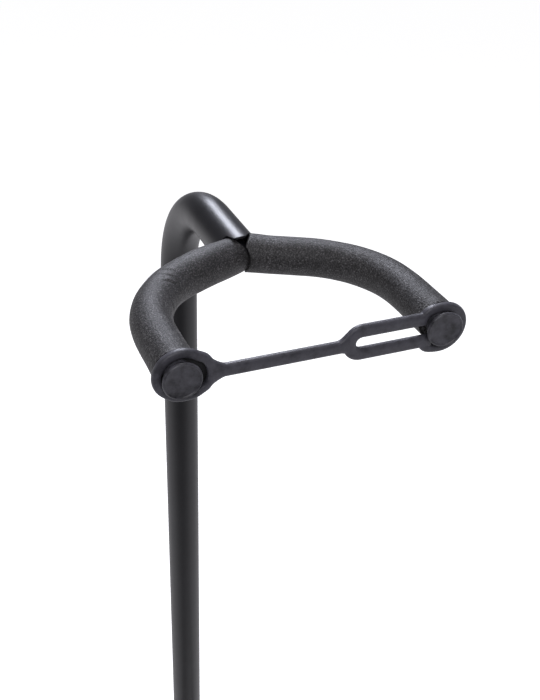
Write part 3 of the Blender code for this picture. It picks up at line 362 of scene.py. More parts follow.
def ringed(path, profile, sides, swell=None, warp=None):
    """Rings of a profile carried round a path.

    Each (distance, radius) pair gives a circle of that radius round the path's point at that
    distance: point + radius * (cos t * side + sin t * other side). Swell is a function of distance
    and angle that adds to the radius; warp, of distance, angle and radius, adds to the distance.
    """
    walked = walked_along(path)
    ahead, side, other = carried_sides(path)
    angle = np.linspace(0, 2 * math.pi, sides, endpoint=False)[None, :]
    distance = np.repeat(profile[:, :1], sides, axis=1)
    radius = np.repeat(profile[:, 1:], sides, axis=1)
    if swell is not None:
        radius = radius + swell(distance, angle) * (radius > 1e-6)
    if warp is not None:
        distance = distance + warp(distance, angle, radius)

    def at(values):
        return np.stack([np.interp(distance, walked, values[:, k]) for k in range(3)], axis=-1)

    before = np.minimum(distance, 0)[..., None]
    after = np.maximum(distance - walked[-1], 0)[..., None]
    middle = at(path) + before * ahead[0] + after * ahead[-1]
    across = unit(at(side)) * np.cos(angle)[..., None] + unit(at(other)) * np.sin(angle)[..., None]
    return middle + radius[..., None] * across


def solid_turned(name, path, profile, fillet=FILLET, spacing=SPACING, sides=SIDES):
    """A solid piece: the profile starts and ends on the axis."""
    shape = densified(filleted(profile, fillet), spacing)
    return skin(name, ringed(path, shape[1:-1], sides))


def hollow_turned(
    name, path, profile, fillet=FILLET, spacing=SPACING, sides=SIDES, swell=None, warp=None
):
    """A tube-like piece: the profile is a closed loop off the axis."""
    loop = list(profile) + [profile[0], profile[1]]
    shape = densified(filleted(loop, fillet)[1:], spacing)
    keep = np.linalg.norm(np.diff(shape, axis=0, append=shape[:1]), axis=1) > 1e-7
    return skin(name, ringed(path, shape[keep], sides, swell, warp), closed=True)


def rod_profile(start, end, radius):
    """Profile of a plain rod between two distances."""
    return [(start, 0), (start, radius), (end, radius), (end, 0)]


def tube_profile(start, end, outer, inner):
    """Profile of a tube's wall between two distances."""
    return [(start, outer), (end, outer), (end, inner), (start, inner)]


def line_from(at, direction):
    """A straight path. A piece goes on along it before its start and past its end."""
    return np.linspace(at, at + direction * LINE_STEP, 3)


def shaft_point(x, y, z):
    return SHAFT + (x, y, z)


def mirrored(points):
    return points * (-1, 1, 1)


def put(obj, body, slot, *nodes, finish=None):
    """Dresses a piece: its finish, the body it rides on, its slot and the nodes it stands for."""
    obj.data.materials.clear()
    obj.data.materials.append(finish or FINISHES[slot])
    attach(obj, body)
    if nodes:
        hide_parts(*nodes)


def new_node(tree, kind, **values):
    """A shader node with values for its inputs, in whose names an underscore stands for a space."""
    node = tree.nodes.new("ShaderNode" + kind)
    for name, value in values.items():
        node.inputs[name.replace("_", " ")].default_value = value
    return node


class Finish:
    """A material built from nodes, with short calls for the ones used most."""

    def __init__(self, name, **values):
        self.material = bpy.data.materials.new(name)
        self.material.use_nodes = True
        self.tree = self.material.node_tree
        self.shader = self.tree.nodes["Principled BSDF"]
        for socket, value in values.items():
            self.shader.inputs[socket.replace("_", " ")].default_value = value
        self.place = new_node(self.tree, "TexCoord").outputs["Object"]

    def noise(self, scale, detail, roughness=0.55):
        node = new_node(self.tree, "TexNoise", Scale=scale, Detail=detail, Roughness=roughness)
        self.tree.links.new(self.place, node.inputs["Vector"])
        return node.outputs["Fac"]

    def ramp(self, value, stops):
        node = new_node(self.tree, "ValToRGB")
        elements = node.color_ramp.elements
        while len(elements) < len(stops):
            elements.new(0.5)
        for element, (position, color) in zip(elements, stops):
            element.position = position
            element.color = (*color, 1)
        self.tree.links.new(value, node.inputs["Fac"])
        return node.outputs["Color"]

    def product(self, a, b):
        """Product of two colours; the node's sockets for colours are the seventh and the eighth."""
        node = new_node(self.tree, "Mix")
        node.data_type = "RGBA"
        node.blend_type = "MULTIPLY"
        node.inputs[0].default_value = 1.0
        self.tree.links.new(a, node.inputs[6])
        self.tree.links.new(b, node.inputs[7])
        return node.outputs[2]

    def scaled(self, value, low_end, high_end):
        node = new_node(self.tree, "MapRange", To_Min=low_end, To_Max=high_end)
        self.tree.links.new(value, node.inputs["Value"])
        return node.outputs["Result"]

    def into(self, name, value):
        self.tree.links.new(value, self.shader.inputs[name])

    def bump(self, height, distance, strength, under=None):
        node = new_node(self.tree, "Bump", Strength=strength, Distance=distance)
        self.tree.links.new(height, node.inputs["Height"])
        if under is not None:
            self.tree.links.new(under, node.inputs["Normal"])
        self.into("Normal", node.outputs["Normal"])
        return node.outputs["Normal"]


def mottled(name, tones, stops, dulls, roughness, grain, height, strength=0.5, **values):
    """A finish with one noise for its colour, a second for its roughness and a third for its skin.

    Tones, dulls and grain are those noises' scale, detail and roughness.
    """
    f = Finish(name, **values)
    f.into("Base Color", f.ramp(f.noise(*tones), stops))
    f.into("Roughness", f.scaled(f.noise(*dulls), *roughness))
    f.bump(f.noise(*grain), height, strength)
    return f.material


def paint_finish():
    """Satin black powder coat: fine orange peel and faint cloudiness."""
    stops = [(0.35, (0.010, 0.010, 0.012)), (0.7, (0.015, 0.015, 0.018))]
    name, rough = "satin black powder coat", (0.34, 0.42)
    return mottled(name, (35, 3), stops, (160, 3), rough, (900, 2), 0.00003, Specular_IOR_Level=0.5)


def foam_finish():
    """Charcoal closed-cell foam: dark pits and pale grains, the pale ones partly painted glints, a little
    glossy, with soft mottling.
    """
    f = Finish("charcoal foam", Specular_IOR_Level=0.55)
    grain = f.noise(1600, 2.2, 0.75)
    cells = f.noise(520, 3, 0.6)
    mottle = f.noise(150, 4, 0.6)
    # Pale grains in the colour: partly the foam's own grain, partly painted glints standing in for
    # highlights off its cells
    grain_and_painted_glint = f.ramp(
        grain,
        [
            (0.34, (0.007, 0.007, 0.007)),
            (0.48, (0.024, 0.023, 0.023)),
            (0.58, (0.080, 0.078, 0.082)),
            (0.70, (0.23, 0.225, 0.235)),
        ],
    )
    shade = f.ramp(mottle, [(0.30, (0.62, 0.61, 0.60)), (0.70, (1.0, 0.99, 0.97))])
    f.into("Base Color", f.product(grain_and_painted_glint, shade))
    f.into("Roughness", f.scaled(cells, 0.44, 0.70))
    coarse = f.bump(cells, 0.00030, 0.6)
    f.bump(grain, 0.00026, 0.9, under=coarse)
    return f.material


def rubber_finish(name, color, roughness, bloom=1.25):
    """Moulded rubber: smudged bloom and a very fine matt skin."""
    dark = tuple(c * (1.85 - bloom) for c in color)
    pale = tuple(c * bloom for c in color)
    stops = [(0.34, dark), (0.50, color), (0.68, pale)]
    tones, rough = (210, 5, 0.65), (roughness - 0.07, roughness + 0.10)
    return mottled(name, tones, stops, (330, 4), rough, (2600, 2), 0.00004, Specular_IOR_Level=0.45)


def nylon_finish():
    """Black moulded nylon with a spark-eroded grain."""
    stops = [(0.3, (0.020, 0.020, 0.021)), (0.7, (0.030, 0.030, 0.032))]
    return mottled("black nylon", (90, 4), stops, (500, 3), (0.42, 0.60), (1700, 2), 0.00006, 0.6)


def metal_finish(name, color, roughness):
    """Bright metal with faint turning marks and dull patches."""
    stops = [(0.3, tuple(c * 0.85 for c in color)), (0.7, color)]
    rough = (roughness, roughness + 0.18)
    return mottled(name, (400, 4), stops, (700, 4), rough, (2400, 3), 0.00002, Metallic=1.0)


PAINT = paint_finish()
NYLON = nylon_finish()
# Nearly black rubber: painted shade for the eyelet's lip, where the cap's head shades the hole
PAINTED_SHADE_RUBBER = rubber_finish("painted shade rubber", (0.006, 0.006, 0.007), 0.70)
FINISHES = {
    "black_paint": PAINT,
    "rod_paint": PAINT,
    "foam": foam_finish(),
    "strap_rubber": rubber_finish("bluish grey rubber", (0.080, 0.079, 0.094), 0.44),
    "cap_rubber": rubber_finish("cap rubber", (0.069, 0.068, 0.079), 0.40, 1.50),
    "foot_rubber": rubber_finish("foot rubber", (0.028, 0.028, 0.030), 0.60),
    "nylon": NYLON,
    "knob_nylon": NYLON,
    "zinc": metal_finish("zinc plate", (0.62, 0.63, 0.65), 0.26),
    "brass": metal_finish("plain brass", (0.70, 0.52, 0.25), 0.30),
}


def eased(value, start, end):
    """Smooth step from 0 to 1 between two values."""
    t = np.clip((value - start) / (end - start), 0, 1)
    return t * t * (3 - 2 * t)


def neck_tube():
    """The sliding upright with its gooseneck, coped at its front end to the two foam sleeves.

    At height z and sideways distance x on the tube, a sleeve of radius r that leans forward by a
    takes away everything in front of y = (sqrt(r ** 2 - z ** 2) - x * sin a) / cos a behind the
    rod. The radius is taken a clearance smaller, so the upper lip beds into the foam. The lip's
    corners are cut back by depth * u ** power, where u runs from 0 to its limit across a corner.
    """
    path = route(
        shaft_point(0, 0, NECK_BOTTOM_Z),
        Z,
        [
            ("run", ROD_Z - GOOSENECK_R - NECK_BOTTOM_Z),
            ("bend", GOOSENECK_R, X, math.pi / 2),
            ("run", GOOSENECK_RUN + LIP_REACH),
        ],
    )
    end = walked_along(path)[-1]
    (right_at, right_width), (left_at, left_width) = LIP_CORNERS

    def cope(distance, angle, radius):
        x, z = NECK_TUBE_R * np.cos(angle), NECK_TUBE_R * np.sin(angle)
        room = (FOAM_R - CLEARANCE) ** 2 - z**2
        behind = (np.sqrt(np.maximum(room, 0)) - np.abs(x) * SPLAY_SIN) / SPLAY_COS
        cut = np.where(room > 0, np.maximum(behind + LIP_REACH, 0), 0)
        corner = np.where(x > 0, (x - right_at) / right_width, (-x - left_at) / left_width)
        corner = np.clip(corner, 0, LIP_CORNER_LIMIT) ** LIP_CORNER_POWER
        cut = np.maximum(cut, LIP_CORNER_DEPTH * corner)
        cut = np.where(z < 0, np.maximum(cut, LOWER_LIP_CUT), cut)
        return -cut * eased(distance, end - COPE_LENGTH, end)

    wall = tube_profile(0, end, NECK_TUBE_R, NECK_TUBE_R - NECK_TUBE_WALL)
    tube = hollow_turned("neck_tube_surface", path, wall, 0.00035, 0.002, 120, warp=cope)
    put(tube, "neck", "black_paint", "neck_tube")


def yoke_half():
    """Right half of the yoke rod's centreline, from the apex to the plane of the cap's face."""
    return route(
        APEX,
        (SPLAY_COS, -SPLAY_SIN, 0),
        [
            ("run", YOKE_INNER_RUN),
            ("bend", YOKE_BEND_R, -Z, math.pi / 2 - YOKE_SPLAY),
            ("run", YOKE_ARM_RUN),
        ],
    )


def ripple(seed, size, count=14):
    """Smooth unevenness: a sum of sine waves round and along a sleeve, drawn from a seed."""
    rng = np.random.default_rng(seed)
    along = rng.uniform(60, 420, count)  # radians per metre
    turns = rng.integers(1, 6, count)  # whole waves round the sleeve
    phase = rng.uniform(0, 2 * math.pi, count)
    share = rng.uniform(0.4, 1.0, count) / count

    def swell(s, angle):
        waves = [
            h * np.sin(a * s + t * angle + p) for a, t, p, h in zip(along, turns, phase, share)
        ]
        return size * sum(waves)

    return swell


def pressed_end(sign):
    """Moves a sleeve's inner end to where the two sleeves meet.

    The left sleeve bulges into the right one by push * (1 - u ** 2), where u is the height on the
    sleeve over its radius, and above the middle over SLEEVE_TOP of it. A sleeve ends at the larger
    of its own start, which on the right tilts back with the fourth power of the height, and the
    distance at which it reaches the other. The larger of the two is taken softly:
    start + (gap + sqrt(gap ** 2 + soft ** 2)) / 2, with the gap from the one to the other.
    """

    def warp(distance, angle, radius):
        back, up = -sign * radius * np.sin(angle), radius * np.cos(angle)
        height = up / FOAM_R
        plane = SLEEVE_PUSH * (1 - (height / np.where(height > 0, SLEEVE_TOP, 1)) ** 2)
        start = SLEEVE_TILT * np.maximum(height, 0) ** 4 if sign > 0 else -np.maximum(plane, 0)
        reach = (sign * plane + CLEARANCE / 3 - back * SPLAY_SIN) / SPLAY_COS - SLEEVE_START
        gap = reach - start
        pushed = start + (gap + np.sqrt(gap**2 + SEAM_SOFT**2)) / 2
        return pushed * (1 - eased(distance, SLEEVE_START, SLEEVE_START + SLEEVE_FADE))

    return warp


def folds(*creases):
    """Creases in the foam: a ridge beside a groove, -u * exp((1 - u ** 2) / 2) times its height.

    u is the distance from the crease's line over its width. The line crosses the sleeve on a
    slant, and the crease fades along it by a bell curve. Each crease has its distance, angle,
    slant in metres per radian, half length and height. Angle and half length are in degrees.
    """

    def swell(s, angle):
        total = 0
        for at, middle, slant, reach, height in creases:
            off = np.angle(np.exp(1j * (angle - math.radians(middle))))
            u = (s - at - slant * off) / FOLD_WIDTH
            total = total - height * u * np.exp((1 - u**2) / 2 - (off / math.radians(reach)) ** 2)
        return total

    return swell


def yoke_sleeves():
    """Foam sleeves of the yoke, pressed together at the middle, uneven and creased at the bends.

    On top a sleeve is pinched or swollen near the seam, and swollen a little further on by a bell
    curve round TOP_BULGE_AT.
    """
    half = yoke_half()
    end = walked_along(half)[-1] - CAP_NECK_END - SLEEVE_GAP
    wall = tube_profile(SLEEVE_START, end, FOAM_R, YOKE_ROD_R + CLEARANCE)
    sides = (("left", -1, mirrored(half), 3, LEFT_FOLDS), ("right", 1, half, 8, RIGHT_FOLDS))
    for side, sign, path, seed, creases in sides:
        waves, dents = ripple(seed, SLEEVE_WAVE), folds(*creases)
        pinch, bulge = TOP_PINCH[side]

        def swell(distance, angle):
            near = 1 - eased(distance, SLEEVE_START, SLEEVE_START + SLEEVE_FADE)
            on = np.exp(-(((distance - TOP_BULGE_AT) / TOP_BULGE_WIDTH) ** 2))
            above = np.maximum(np.cos(angle), 0) * (pinch * near + bulge * on)
            return waves(distance, angle) + dents(distance, angle) + above

        name, ended = "yoke_sleeve_" + side, pressed_end(sign)
        sleeve = hollow_turned(name, path, wall, 0.0004, 0.0004, 144, swell, ended)
        put(sleeve, "neck", "foam", "yoke_foam_" + side)


def yoke_caps():
    """Mushroom caps: a low head, and a neck for the strap that goes on into the foam.

    A head's face is dished inside a crisp rim. The head is turned a little up and to the left:
    each of its points moves back by the turn times its distance to the side and up from the middle.
    """
    r, bore = CAP_HEAD_R, YOKE_ROD_R + CLEARANCE
    face = [(CAP_DISH, 0), (CAP_DISH, r * 0.45), (CAP_DISH - 0.00004, r * 0.86), (0, r * 0.91)]
    rim = [(0, r * 0.945), (0.00030, r * 0.985), (0.0008, r), (CAP_HEAD_T, r - 0.0008)]
    neck = [(CAP_HEAD_T, CAP_NECK_R), (CAP_STEM_END, CAP_NECK_R), (CAP_STEM_END, bore)]
    profile = [*face, *rim, *neck, (CAP_BORE_DEPTH, bore), (CAP_BORE_DEPTH, 0)]
    left = ("left", -1, CAP_LEAN, LEFT_CAP_TURN)
    right = ("right", 1, RIGHT_CAP_LEAN, RIGHT_CAP_TURN)
    for side, sign, lean, (sideways, up) in (left, right):
        seat = np.array((sign * CAP_X, CAP_FACE_Y + CAP_NECK_END, ROD_Z))
        front = seat - Y * CAP_NECK_END + lean
        line = line_from(front, unit(seat - front))
        cap = solid_turned("cap_" + side, line, profile, 0.00016, 0.001, 96)
        points = np.empty(3 * len(cap.data.vertices))
        cap.data.vertices.foreach_get("co", points)
        points = points.reshape(-1, 3)
        across = points - front
        share = 1 - eased(across[:, 1], CAP_HEAD_T, CAP_NECK_END)
        points[:, 1] += share * (across[:, 0] * sideways + across[:, 2] * up)
        cap.data.vertices.foreach_set("co", points.ravel())
        put(cap, "neck", "cap_rubber", "yoke_cap_" + side)


def flat_band(middle, half_width, closed=False):
    """Rings of a rounded bar along a flat path in the strap's plane.

    The section is a squarish oval, |a| ** 3 + |b| ** 3 = 1, as wide as the band across the path
    and as thick as the strap through it.
    """
    if closed:
        ahead = np.roll(middle, -1, 0) - np.roll(middle, 1, 0)
    else:
        ahead = np.gradient(middle, axis=0)
    ahead = unit(ahead)
    across = np.stack([ahead[:, 1], -ahead[:, 0]], axis=-1)
    t = np.linspace(0, 2 * math.pi, BAND_SIDES, endpoint=False)
    power = 2 / 3
    a = np.sign(np.cos(t)) * np.abs(np.cos(t)) ** power
    b = np.sign(np.sin(t)) * np.abs(np.sin(t)) ** power
    wide = np.broadcast_to(half_width, (len(middle),))[:, None] * a[None, :]
    flat = middle[:, None] + wide[..., None] * across[:, None]
    deep = np.broadcast_to(b * STRAP_T / 2, flat.shape[:2])
    rings = np.stack([flat[..., 0], STRAP_Y + deep, ROD_Z + flat[..., 1]], axis=-1)
    return skin("strap_piece", rings, closed)


def round_arc(middle, radius, start, end, count):
    """Points on a circle, from one angle to another."""
    t = np.linspace(start, end, count)[:, None]
    return np.array(middle) + radius * np.hstack([np.cos(t), np.sin(t)])


def level(start, end, height, count):
    """Points of a level line in the strap's plane."""
    return np.stack([np.linspace(start, end, count), np.full(count, height)], 1)


def sloped(span, heights, count=40):
    """Points of a sloping line in the strap's plane."""
    run = np.linspace(*span, count)
    return np.stack([run, np.interp(run, span, heights)], 1)


def swollen(outline, middle, swells):
    """An outline pushed out from its middle by height * exp(-(angle / width) ** 2) for each swell.

    A swell's angle is counted from the place where it is highest.
    """
    out = outline - middle
    angle = np.degrees(np.arctan2(out[:, 1], out[:, 0]))
    push = np.zeros(len(out))
    for at, width, height in swells:
        push = push + height * np.exp(-(((angle - at) / width) ** 2))
    return outline + unit(out) * push[:, None]


def eyelet_outline():
    """Middle line of the eyelet: two circles of unlike size, joined by their outer tangents.

    The strap's pull swells it where the web leaves it, above and below, and draws it in at the
    lower left.
    """
    apart = EYELET_TIP_AT[0] - EYELET_AT[0]
    lean = math.acos((EYELET_R - EYELET_TIP_R) / apart)
    big = round_arc(EYELET_AT, EYELET_R, lean, 2 * math.pi - lean, 120)
    tip = round_arc(EYELET_TIP_AT, EYELET_TIP_R, -lean, lean, 60)
    share = np.linspace(0, 1, 16)[1:-1, None]
    lower = big[-1] + (tip[0] - big[-1]) * share
    upper = tip[-1] + (big[0] - tip[-1]) * share
    return swollen(np.vstack([big, lower, tip, upper]), EYELET_AT, EYELET_SWELLS)


def eyelet_lip():
    """Thin lip at the back of the eyelet, from the ring's middle in to the cap's neck.

    Its outer edge follows the eyelet and its inner edge is a circle round the neck, point for point at the
    same angle. Its rubber is nearly black: painted shade for the hollow behind the cap's head.
    """
    eyelet = eyelet_outline()
    neck = np.array((-CAP_X, 0.0))
    inner = neck + unit(eyelet - neck) * (CAP_NECK_R - LIP_SEAT)
    back = STRAP_Y + STRAP_T / 2 - 0.0001
    front = back - EYELET_LIP_T
    rows = []
    for flat, deep in ((inner, front), (eyelet, front), (eyelet, back), (inner, back)):
        rows.append(np.stack([flat[:, 0], np.full(len(flat), deep), ROD_Z + flat[:, 1]], axis=-1))
    lip = skin("eyelet_lip", np.stack(rows), closed=True)
    # The lip gets the nearly black rubber, as painted shade in the eyelet's hollow
    put(lip, "neck", "strap_rubber", finish=PAINTED_SHADE_RUBBER)


def soften(obj, voxel, eases):
    """Adds a fine remesh, which fuses what overlaps, and a smoothing that eases the edges."""
    remesh = obj.modifiers.new("fuse", "REMESH")
    remesh.mode = "VOXEL"
    remesh.voxel_size = voxel
    ease = obj.modifiers.new("ease", "SMOOTH")
    ease.factor = 0.5
    ease.iterations = eases


def bake(obj):
    """Makes the result of an object's modifiers its own mesh."""
    graph = bpy.context.evaluated_depsgraph_get()
    made = bpy.data.meshes.new_from_object(obj.evaluated_get(graph))
    obj.modifiers.clear()
    obj.data = made
    made.shade_smooth()


def strap():
    """One rubber strap: an eyelet, a web that narrows to a bar, a shoulder, a loop and a ring.

    Each is a rounded bar along a flat path; a fine remesh fuses them and a little smoothing eases
    the places where they meet. The web and the shoulder widen towards their wide end by
    flare * u ** power, where u runs from 0 to 1.
    """
    eyelet = eyelet_outline()
    x = eyelet[:, 0]
    width = BAND_HALF + TIP_THICKER * eased(x, *TIP_X)
    width = width - LOW_THINNER * eased(-eyelet[:, 1], *LOW_DEPTH) * eased(x, *LOW_X)
    web = sloped(WEB_X, (EYELET_TIP_AT[1] + WEB_RISE, BAR_Z))
    web_flare = np.clip((WEB_X[1] - web[:, 0]) / WEB_FILLET, 0, 1) ** WEB_FLARE_POWER
    bar_line = level(WEB_X[1] - BAR_OVERLAP, SHOULDER_X[1], BAR_Z, 120)
    shoulder = sloped(SHOULDER_X, (BAR_Z, LOOP_Z))
    way = (shoulder[:, 0] - SHOULDER_X[0]) / (SHOULDER_X[1] - SHOULDER_X[0])
    shoulder_flare = np.clip(way, 0, 1) ** SHOULDER_FLARE_POWER
    top = level(RING_AT[0] - LOOP_TOP_SHORT, LOOP_START_X, LOOP_Z + LOOP_MEAN_HALF, 70)
    turn = round_arc((LOOP_START_X, LOOP_Z), LOOP_MEAN_HALF, math.pi / 2, 1.5 * math.pi, 40)
    bottom = level(LOOP_START_X, RING_AT[0] - LOOP_BOTTOM_SHORT, LOOP_Z - LOOP_MEAN_HALF, 70)
    ring = swollen(round_arc(RING_AT, RING_R, -RING_ENDS, RING_ENDS, 140), RING_AT, RING_SWELLS)
    pieces = [
        flat_band(eyelet, width, True),
        flat_band(web, BAR_HALF + WEB_FLARE * web_flare),
        flat_band(bar_line, BAR_HALF),
        flat_band(shoulder, BAR_HALF + SHOULDER_FLARE * shoulder_flare),
        flat_band(np.vstack([top, turn[1:-1], bottom]), LOOP_BAR_HALF),
        flat_band(ring, BAND_HALF + RING_THICKER * eased(ring[:, 0], *RING_FAR_X)),
    ]
    joined = bmesh.new()
    for piece in pieces:
        joined.from_mesh(piece.data)
        bpy.data.objects.remove(piece, do_unlink=True)
    mesh = bpy.data.meshes.new("strap_surface")
    joined.to_mesh(mesh)
    joined.free()
    body = bpy.data.objects.new("security_strap", mesh)
    bpy.context.collection.objects.link(body)
    soften(body, STRAP_VOXEL, 10)
    bake(body)
    body.data.materials.clear()
    body.data.materials.append(FINISHES["strap_rubber"])
    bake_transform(body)
    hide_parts("strap_eyelet", "strap_band")


def plate(name, outline, thickness, at, across, up):
    """A flat outline made solid, half its thickness to each side of its own plane."""
    outline = np.asarray(outline, float)
    through = np.cross(across, up) * thickness / 2
    flat = at + outline[:, :1] * across + outline[:, 1:] * up
    count = len(flat)
    faces = [list(f) for f in grid_faces(2, count, False)]
    faces += [list(range(count))[::-1], list(range(count, 2 * count))]
    return build(name, np.vstack([flat - through, flat + through]), faces)


def bar(name, start, end, radius, sides=40):
    """A round bar between two points, for holes and bosses."""
    start, end = np.array(start, float), np.array(end, float)
    profile = rod_profile(0, np.linalg.norm(end - start), radius)
    return solid_turned(name, np.linspace(start, end, 3), profile, 0, 1, sides)


def box(name, first, last):
    """A box between two corners."""
    (x0, y0, z0), (x1, y1, z1) = first, last
    outline = [(x0, z0), (x1, z0), (x1, z1), (x0, z1)]
    return plate(name, outline, abs(y1 - y0), np.array((0, (y0 + y1) / 2, 0)), X, Z)


def joined_and_cut(base, added=(), removed=(), voxel=None, eases=8):
    """Joins solids to a base and cuts others from it; a fine remesh and smoothing soften the edges."""
    helpers = list(added) + list(removed)
    for tool in helpers:
        step = base.modifiers.new("join" if tool in added else "cut", "BOOLEAN")
        step.operation = "UNION" if tool in added else "DIFFERENCE"
        step.solver = "MANIFOLD"
        step.object = tool
    if voxel:
        soften(base, voxel, eases)
    bake(base)
    for tool in helpers:
        bpy.data.objects.remove(tool, do_unlink=True)
    if not voxel:
        base.data.set_sharp_from_angle(angle=CUT_SHARP)
    return base


def tube_inside():
    """The rod of the yoke, the plug that holds it in the tube's end, and the bush at the bottom."""
    half = yoke_half()
    tangent = APEX_FILLET_R * math.tan(YOKE_SPLAY)
    keep = walked_along(half) > tangent
    centre_of_bend = APEX + (0, -APEX_FILLET_R / SPLAY_COS, 0)
    angle = np.linspace(-YOKE_SPLAY, YOKE_SPLAY, 12)[1:-1, None]
    bend = centre_of_bend + APEX_FILLET_R * (np.sin(angle) * X + np.cos(angle) * Y)
    path = np.vstack([mirrored(half)[keep][::-1], bend, half[keep]])
    end = walked_along(path)[-1] - ROD_END_DEPTH
    profile = rod_profile(ROD_END_DEPTH, end, YOKE_ROD_R)
    rod = solid_turned("yoke_rod_surface", path, profile, 0.0004, 0.001, 40)
    put(rod, "neck", "rod_paint", "yoke_rod")

    inner = NECK_TUBE_R - NECK_TUBE_WALL - CLEARANCE
    shoulder, front = BOSS_START_Y - BOSS_SHOULDER_Y, BOSS_START_Y - BOSS_FRONT_Y
    profile = [(0, 0), (0, inner), (shoulder, inner), (shoulder, BOSS_R), (front, BOSS_R), (front, 0)]
    line = line_from(APEX + Y * BOSS_START_Y, -Y)
    boss = solid_turned("boss", line, profile, 0.0003, 0.001, 64)
    seat = rod_profile(0, end, YOKE_ROD_R + CLEARANCE)
    seat = solid_turned("rod_seat", path, seat, 0, 0.002, 32)
    put(joined_and_cut(boss, removed=[seat]), "neck", "black_paint", "neck_end_boss")

    outer = OUTER_TUBE_R - OUTER_TUBE_WALL - CLEARANCE
    bore = NECK_TUBE_R + CLEARANCE
    bottom = -CLEARANCE - BUSH_LIP_T
    mouth = NECK_TUBE_R - NECK_TUBE_WALL - BUSH_LIP
    skirt = [(BUSH_LENGTH, outer - 0.0006), (BUSH_LENGTH - 0.001, outer), (bottom + 0.001, outer)]
    lip = [(bottom, outer - 0.001), (bottom, mouth), (-CLEARANCE, mouth)]
    profile = [*skirt, *lip, (-CLEARANCE, bore), (BUSH_LENGTH, bore)]
    bush = hollow_turned("bush", line_from(shaft_point(0, 0, NECK_BOTTOM_Z), Z), profile, 0.0003)
    put(bush, "neck", "nylon", "guide_bush")


def outer_tube():
    """Lower upright and the plug in its bottom."""
    line = line_from(shaft_point(0, 0, OUTER_BOTTOM_Z), Z)
    inner = OUTER_TUBE_R - OUTER_TUBE_WALL
    wall = tube_profile(0, OUTER_TOP_Z - OUTER_BOTTOM_Z, OUTER_TUBE_R, inner)
    tube = hollow_turned("outer_tube_surface", line, wall, 0.0003, 0.004, 96)
    put(tube, "base", "black_paint", "outer_tube")

    plug_r = inner - CLEARANCE
    below = -CLEARANCE - PLUG_FLANGE_T
    shank = [(PLUG_DEPTH, 0), (PLUG_DEPTH, plug_r - 0.0006), (PLUG_DEPTH - 0.001, plug_r)]
    flange = [(-CLEARANCE, plug_r), (-CLEARANCE, OUTER_TUBE_R), (below + 0.0009, OUTER_TUBE_R)]
    profile = [*shank, *flange, (below, OUTER_TUBE_R - 0.0009), (below, 0)]
    put(solid_turned("plug", line, profile, 0.0005), "base", "nylon", "tube_plug")


def clutch():
    """Collar on the outer tube's top with a boss for the knob's stud, and the brass pad in it."""
    lower_bore, upper_bore = OUTER_TUBE_R + CLEARANCE, NECK_TUBE_R + CLEARANCE
    waist = CLUTCH_R - CLUTCH_STEP
    profile = [
        (CLUTCH_ABOVE, CLUTCH_R - 0.0050),
        (CLUTCH_ABOVE - 0.0010, CLUTCH_R - 0.0017),
        (CLUTCH_ABOVE - 0.0038, CLUTCH_R),
        (-0.0015, CLUTCH_R),
        (-0.0060, waist),
        (0.001 - CLUTCH_BELOW, waist),
        (-CLUTCH_BELOW, waist - 0.001),
        (-CLUTCH_BELOW, lower_bore),
        (CLEARANCE, lower_bore),
        (CLEARANCE, upper_bore),
        (CLUTCH_ABOVE, upper_bore),
    ]
    line = line_from(shaft_point(0, 0, OUTER_TOP_Z), Z)
    collar = hollow_turned("clutch_surface", line, profile, 0.0008, 0.0015, 120)
    start = shaft_point(0, (NECK_TUBE_R + CLUTCH_R) / 2, KNOB_Z)
    face = shaft_point(0, CLUTCH_BOSS_REACH, KNOB_Z)
    boss = bar("boss", start, face, CLUTCH_BOSS_R, 72)
    bore = bar("stud_bore", shaft_point(0, 0.002, KNOB_Z), face + Y * 0.01, STUD_R + CLEARANCE)
    put(joined_and_cut(collar, [boss], [bore], CLUTCH_VOXEL), "base", "nylon", "clutch_body")

    line = line_from(shaft_point(0, NECK_TUBE_R + CLEARANCE, KNOB_Z), Y)
    pad = solid_turned("pad", line, rod_profile(0, PAD_T, STUD_R))
    put(pad, "base", "brass", "clutch_pad")


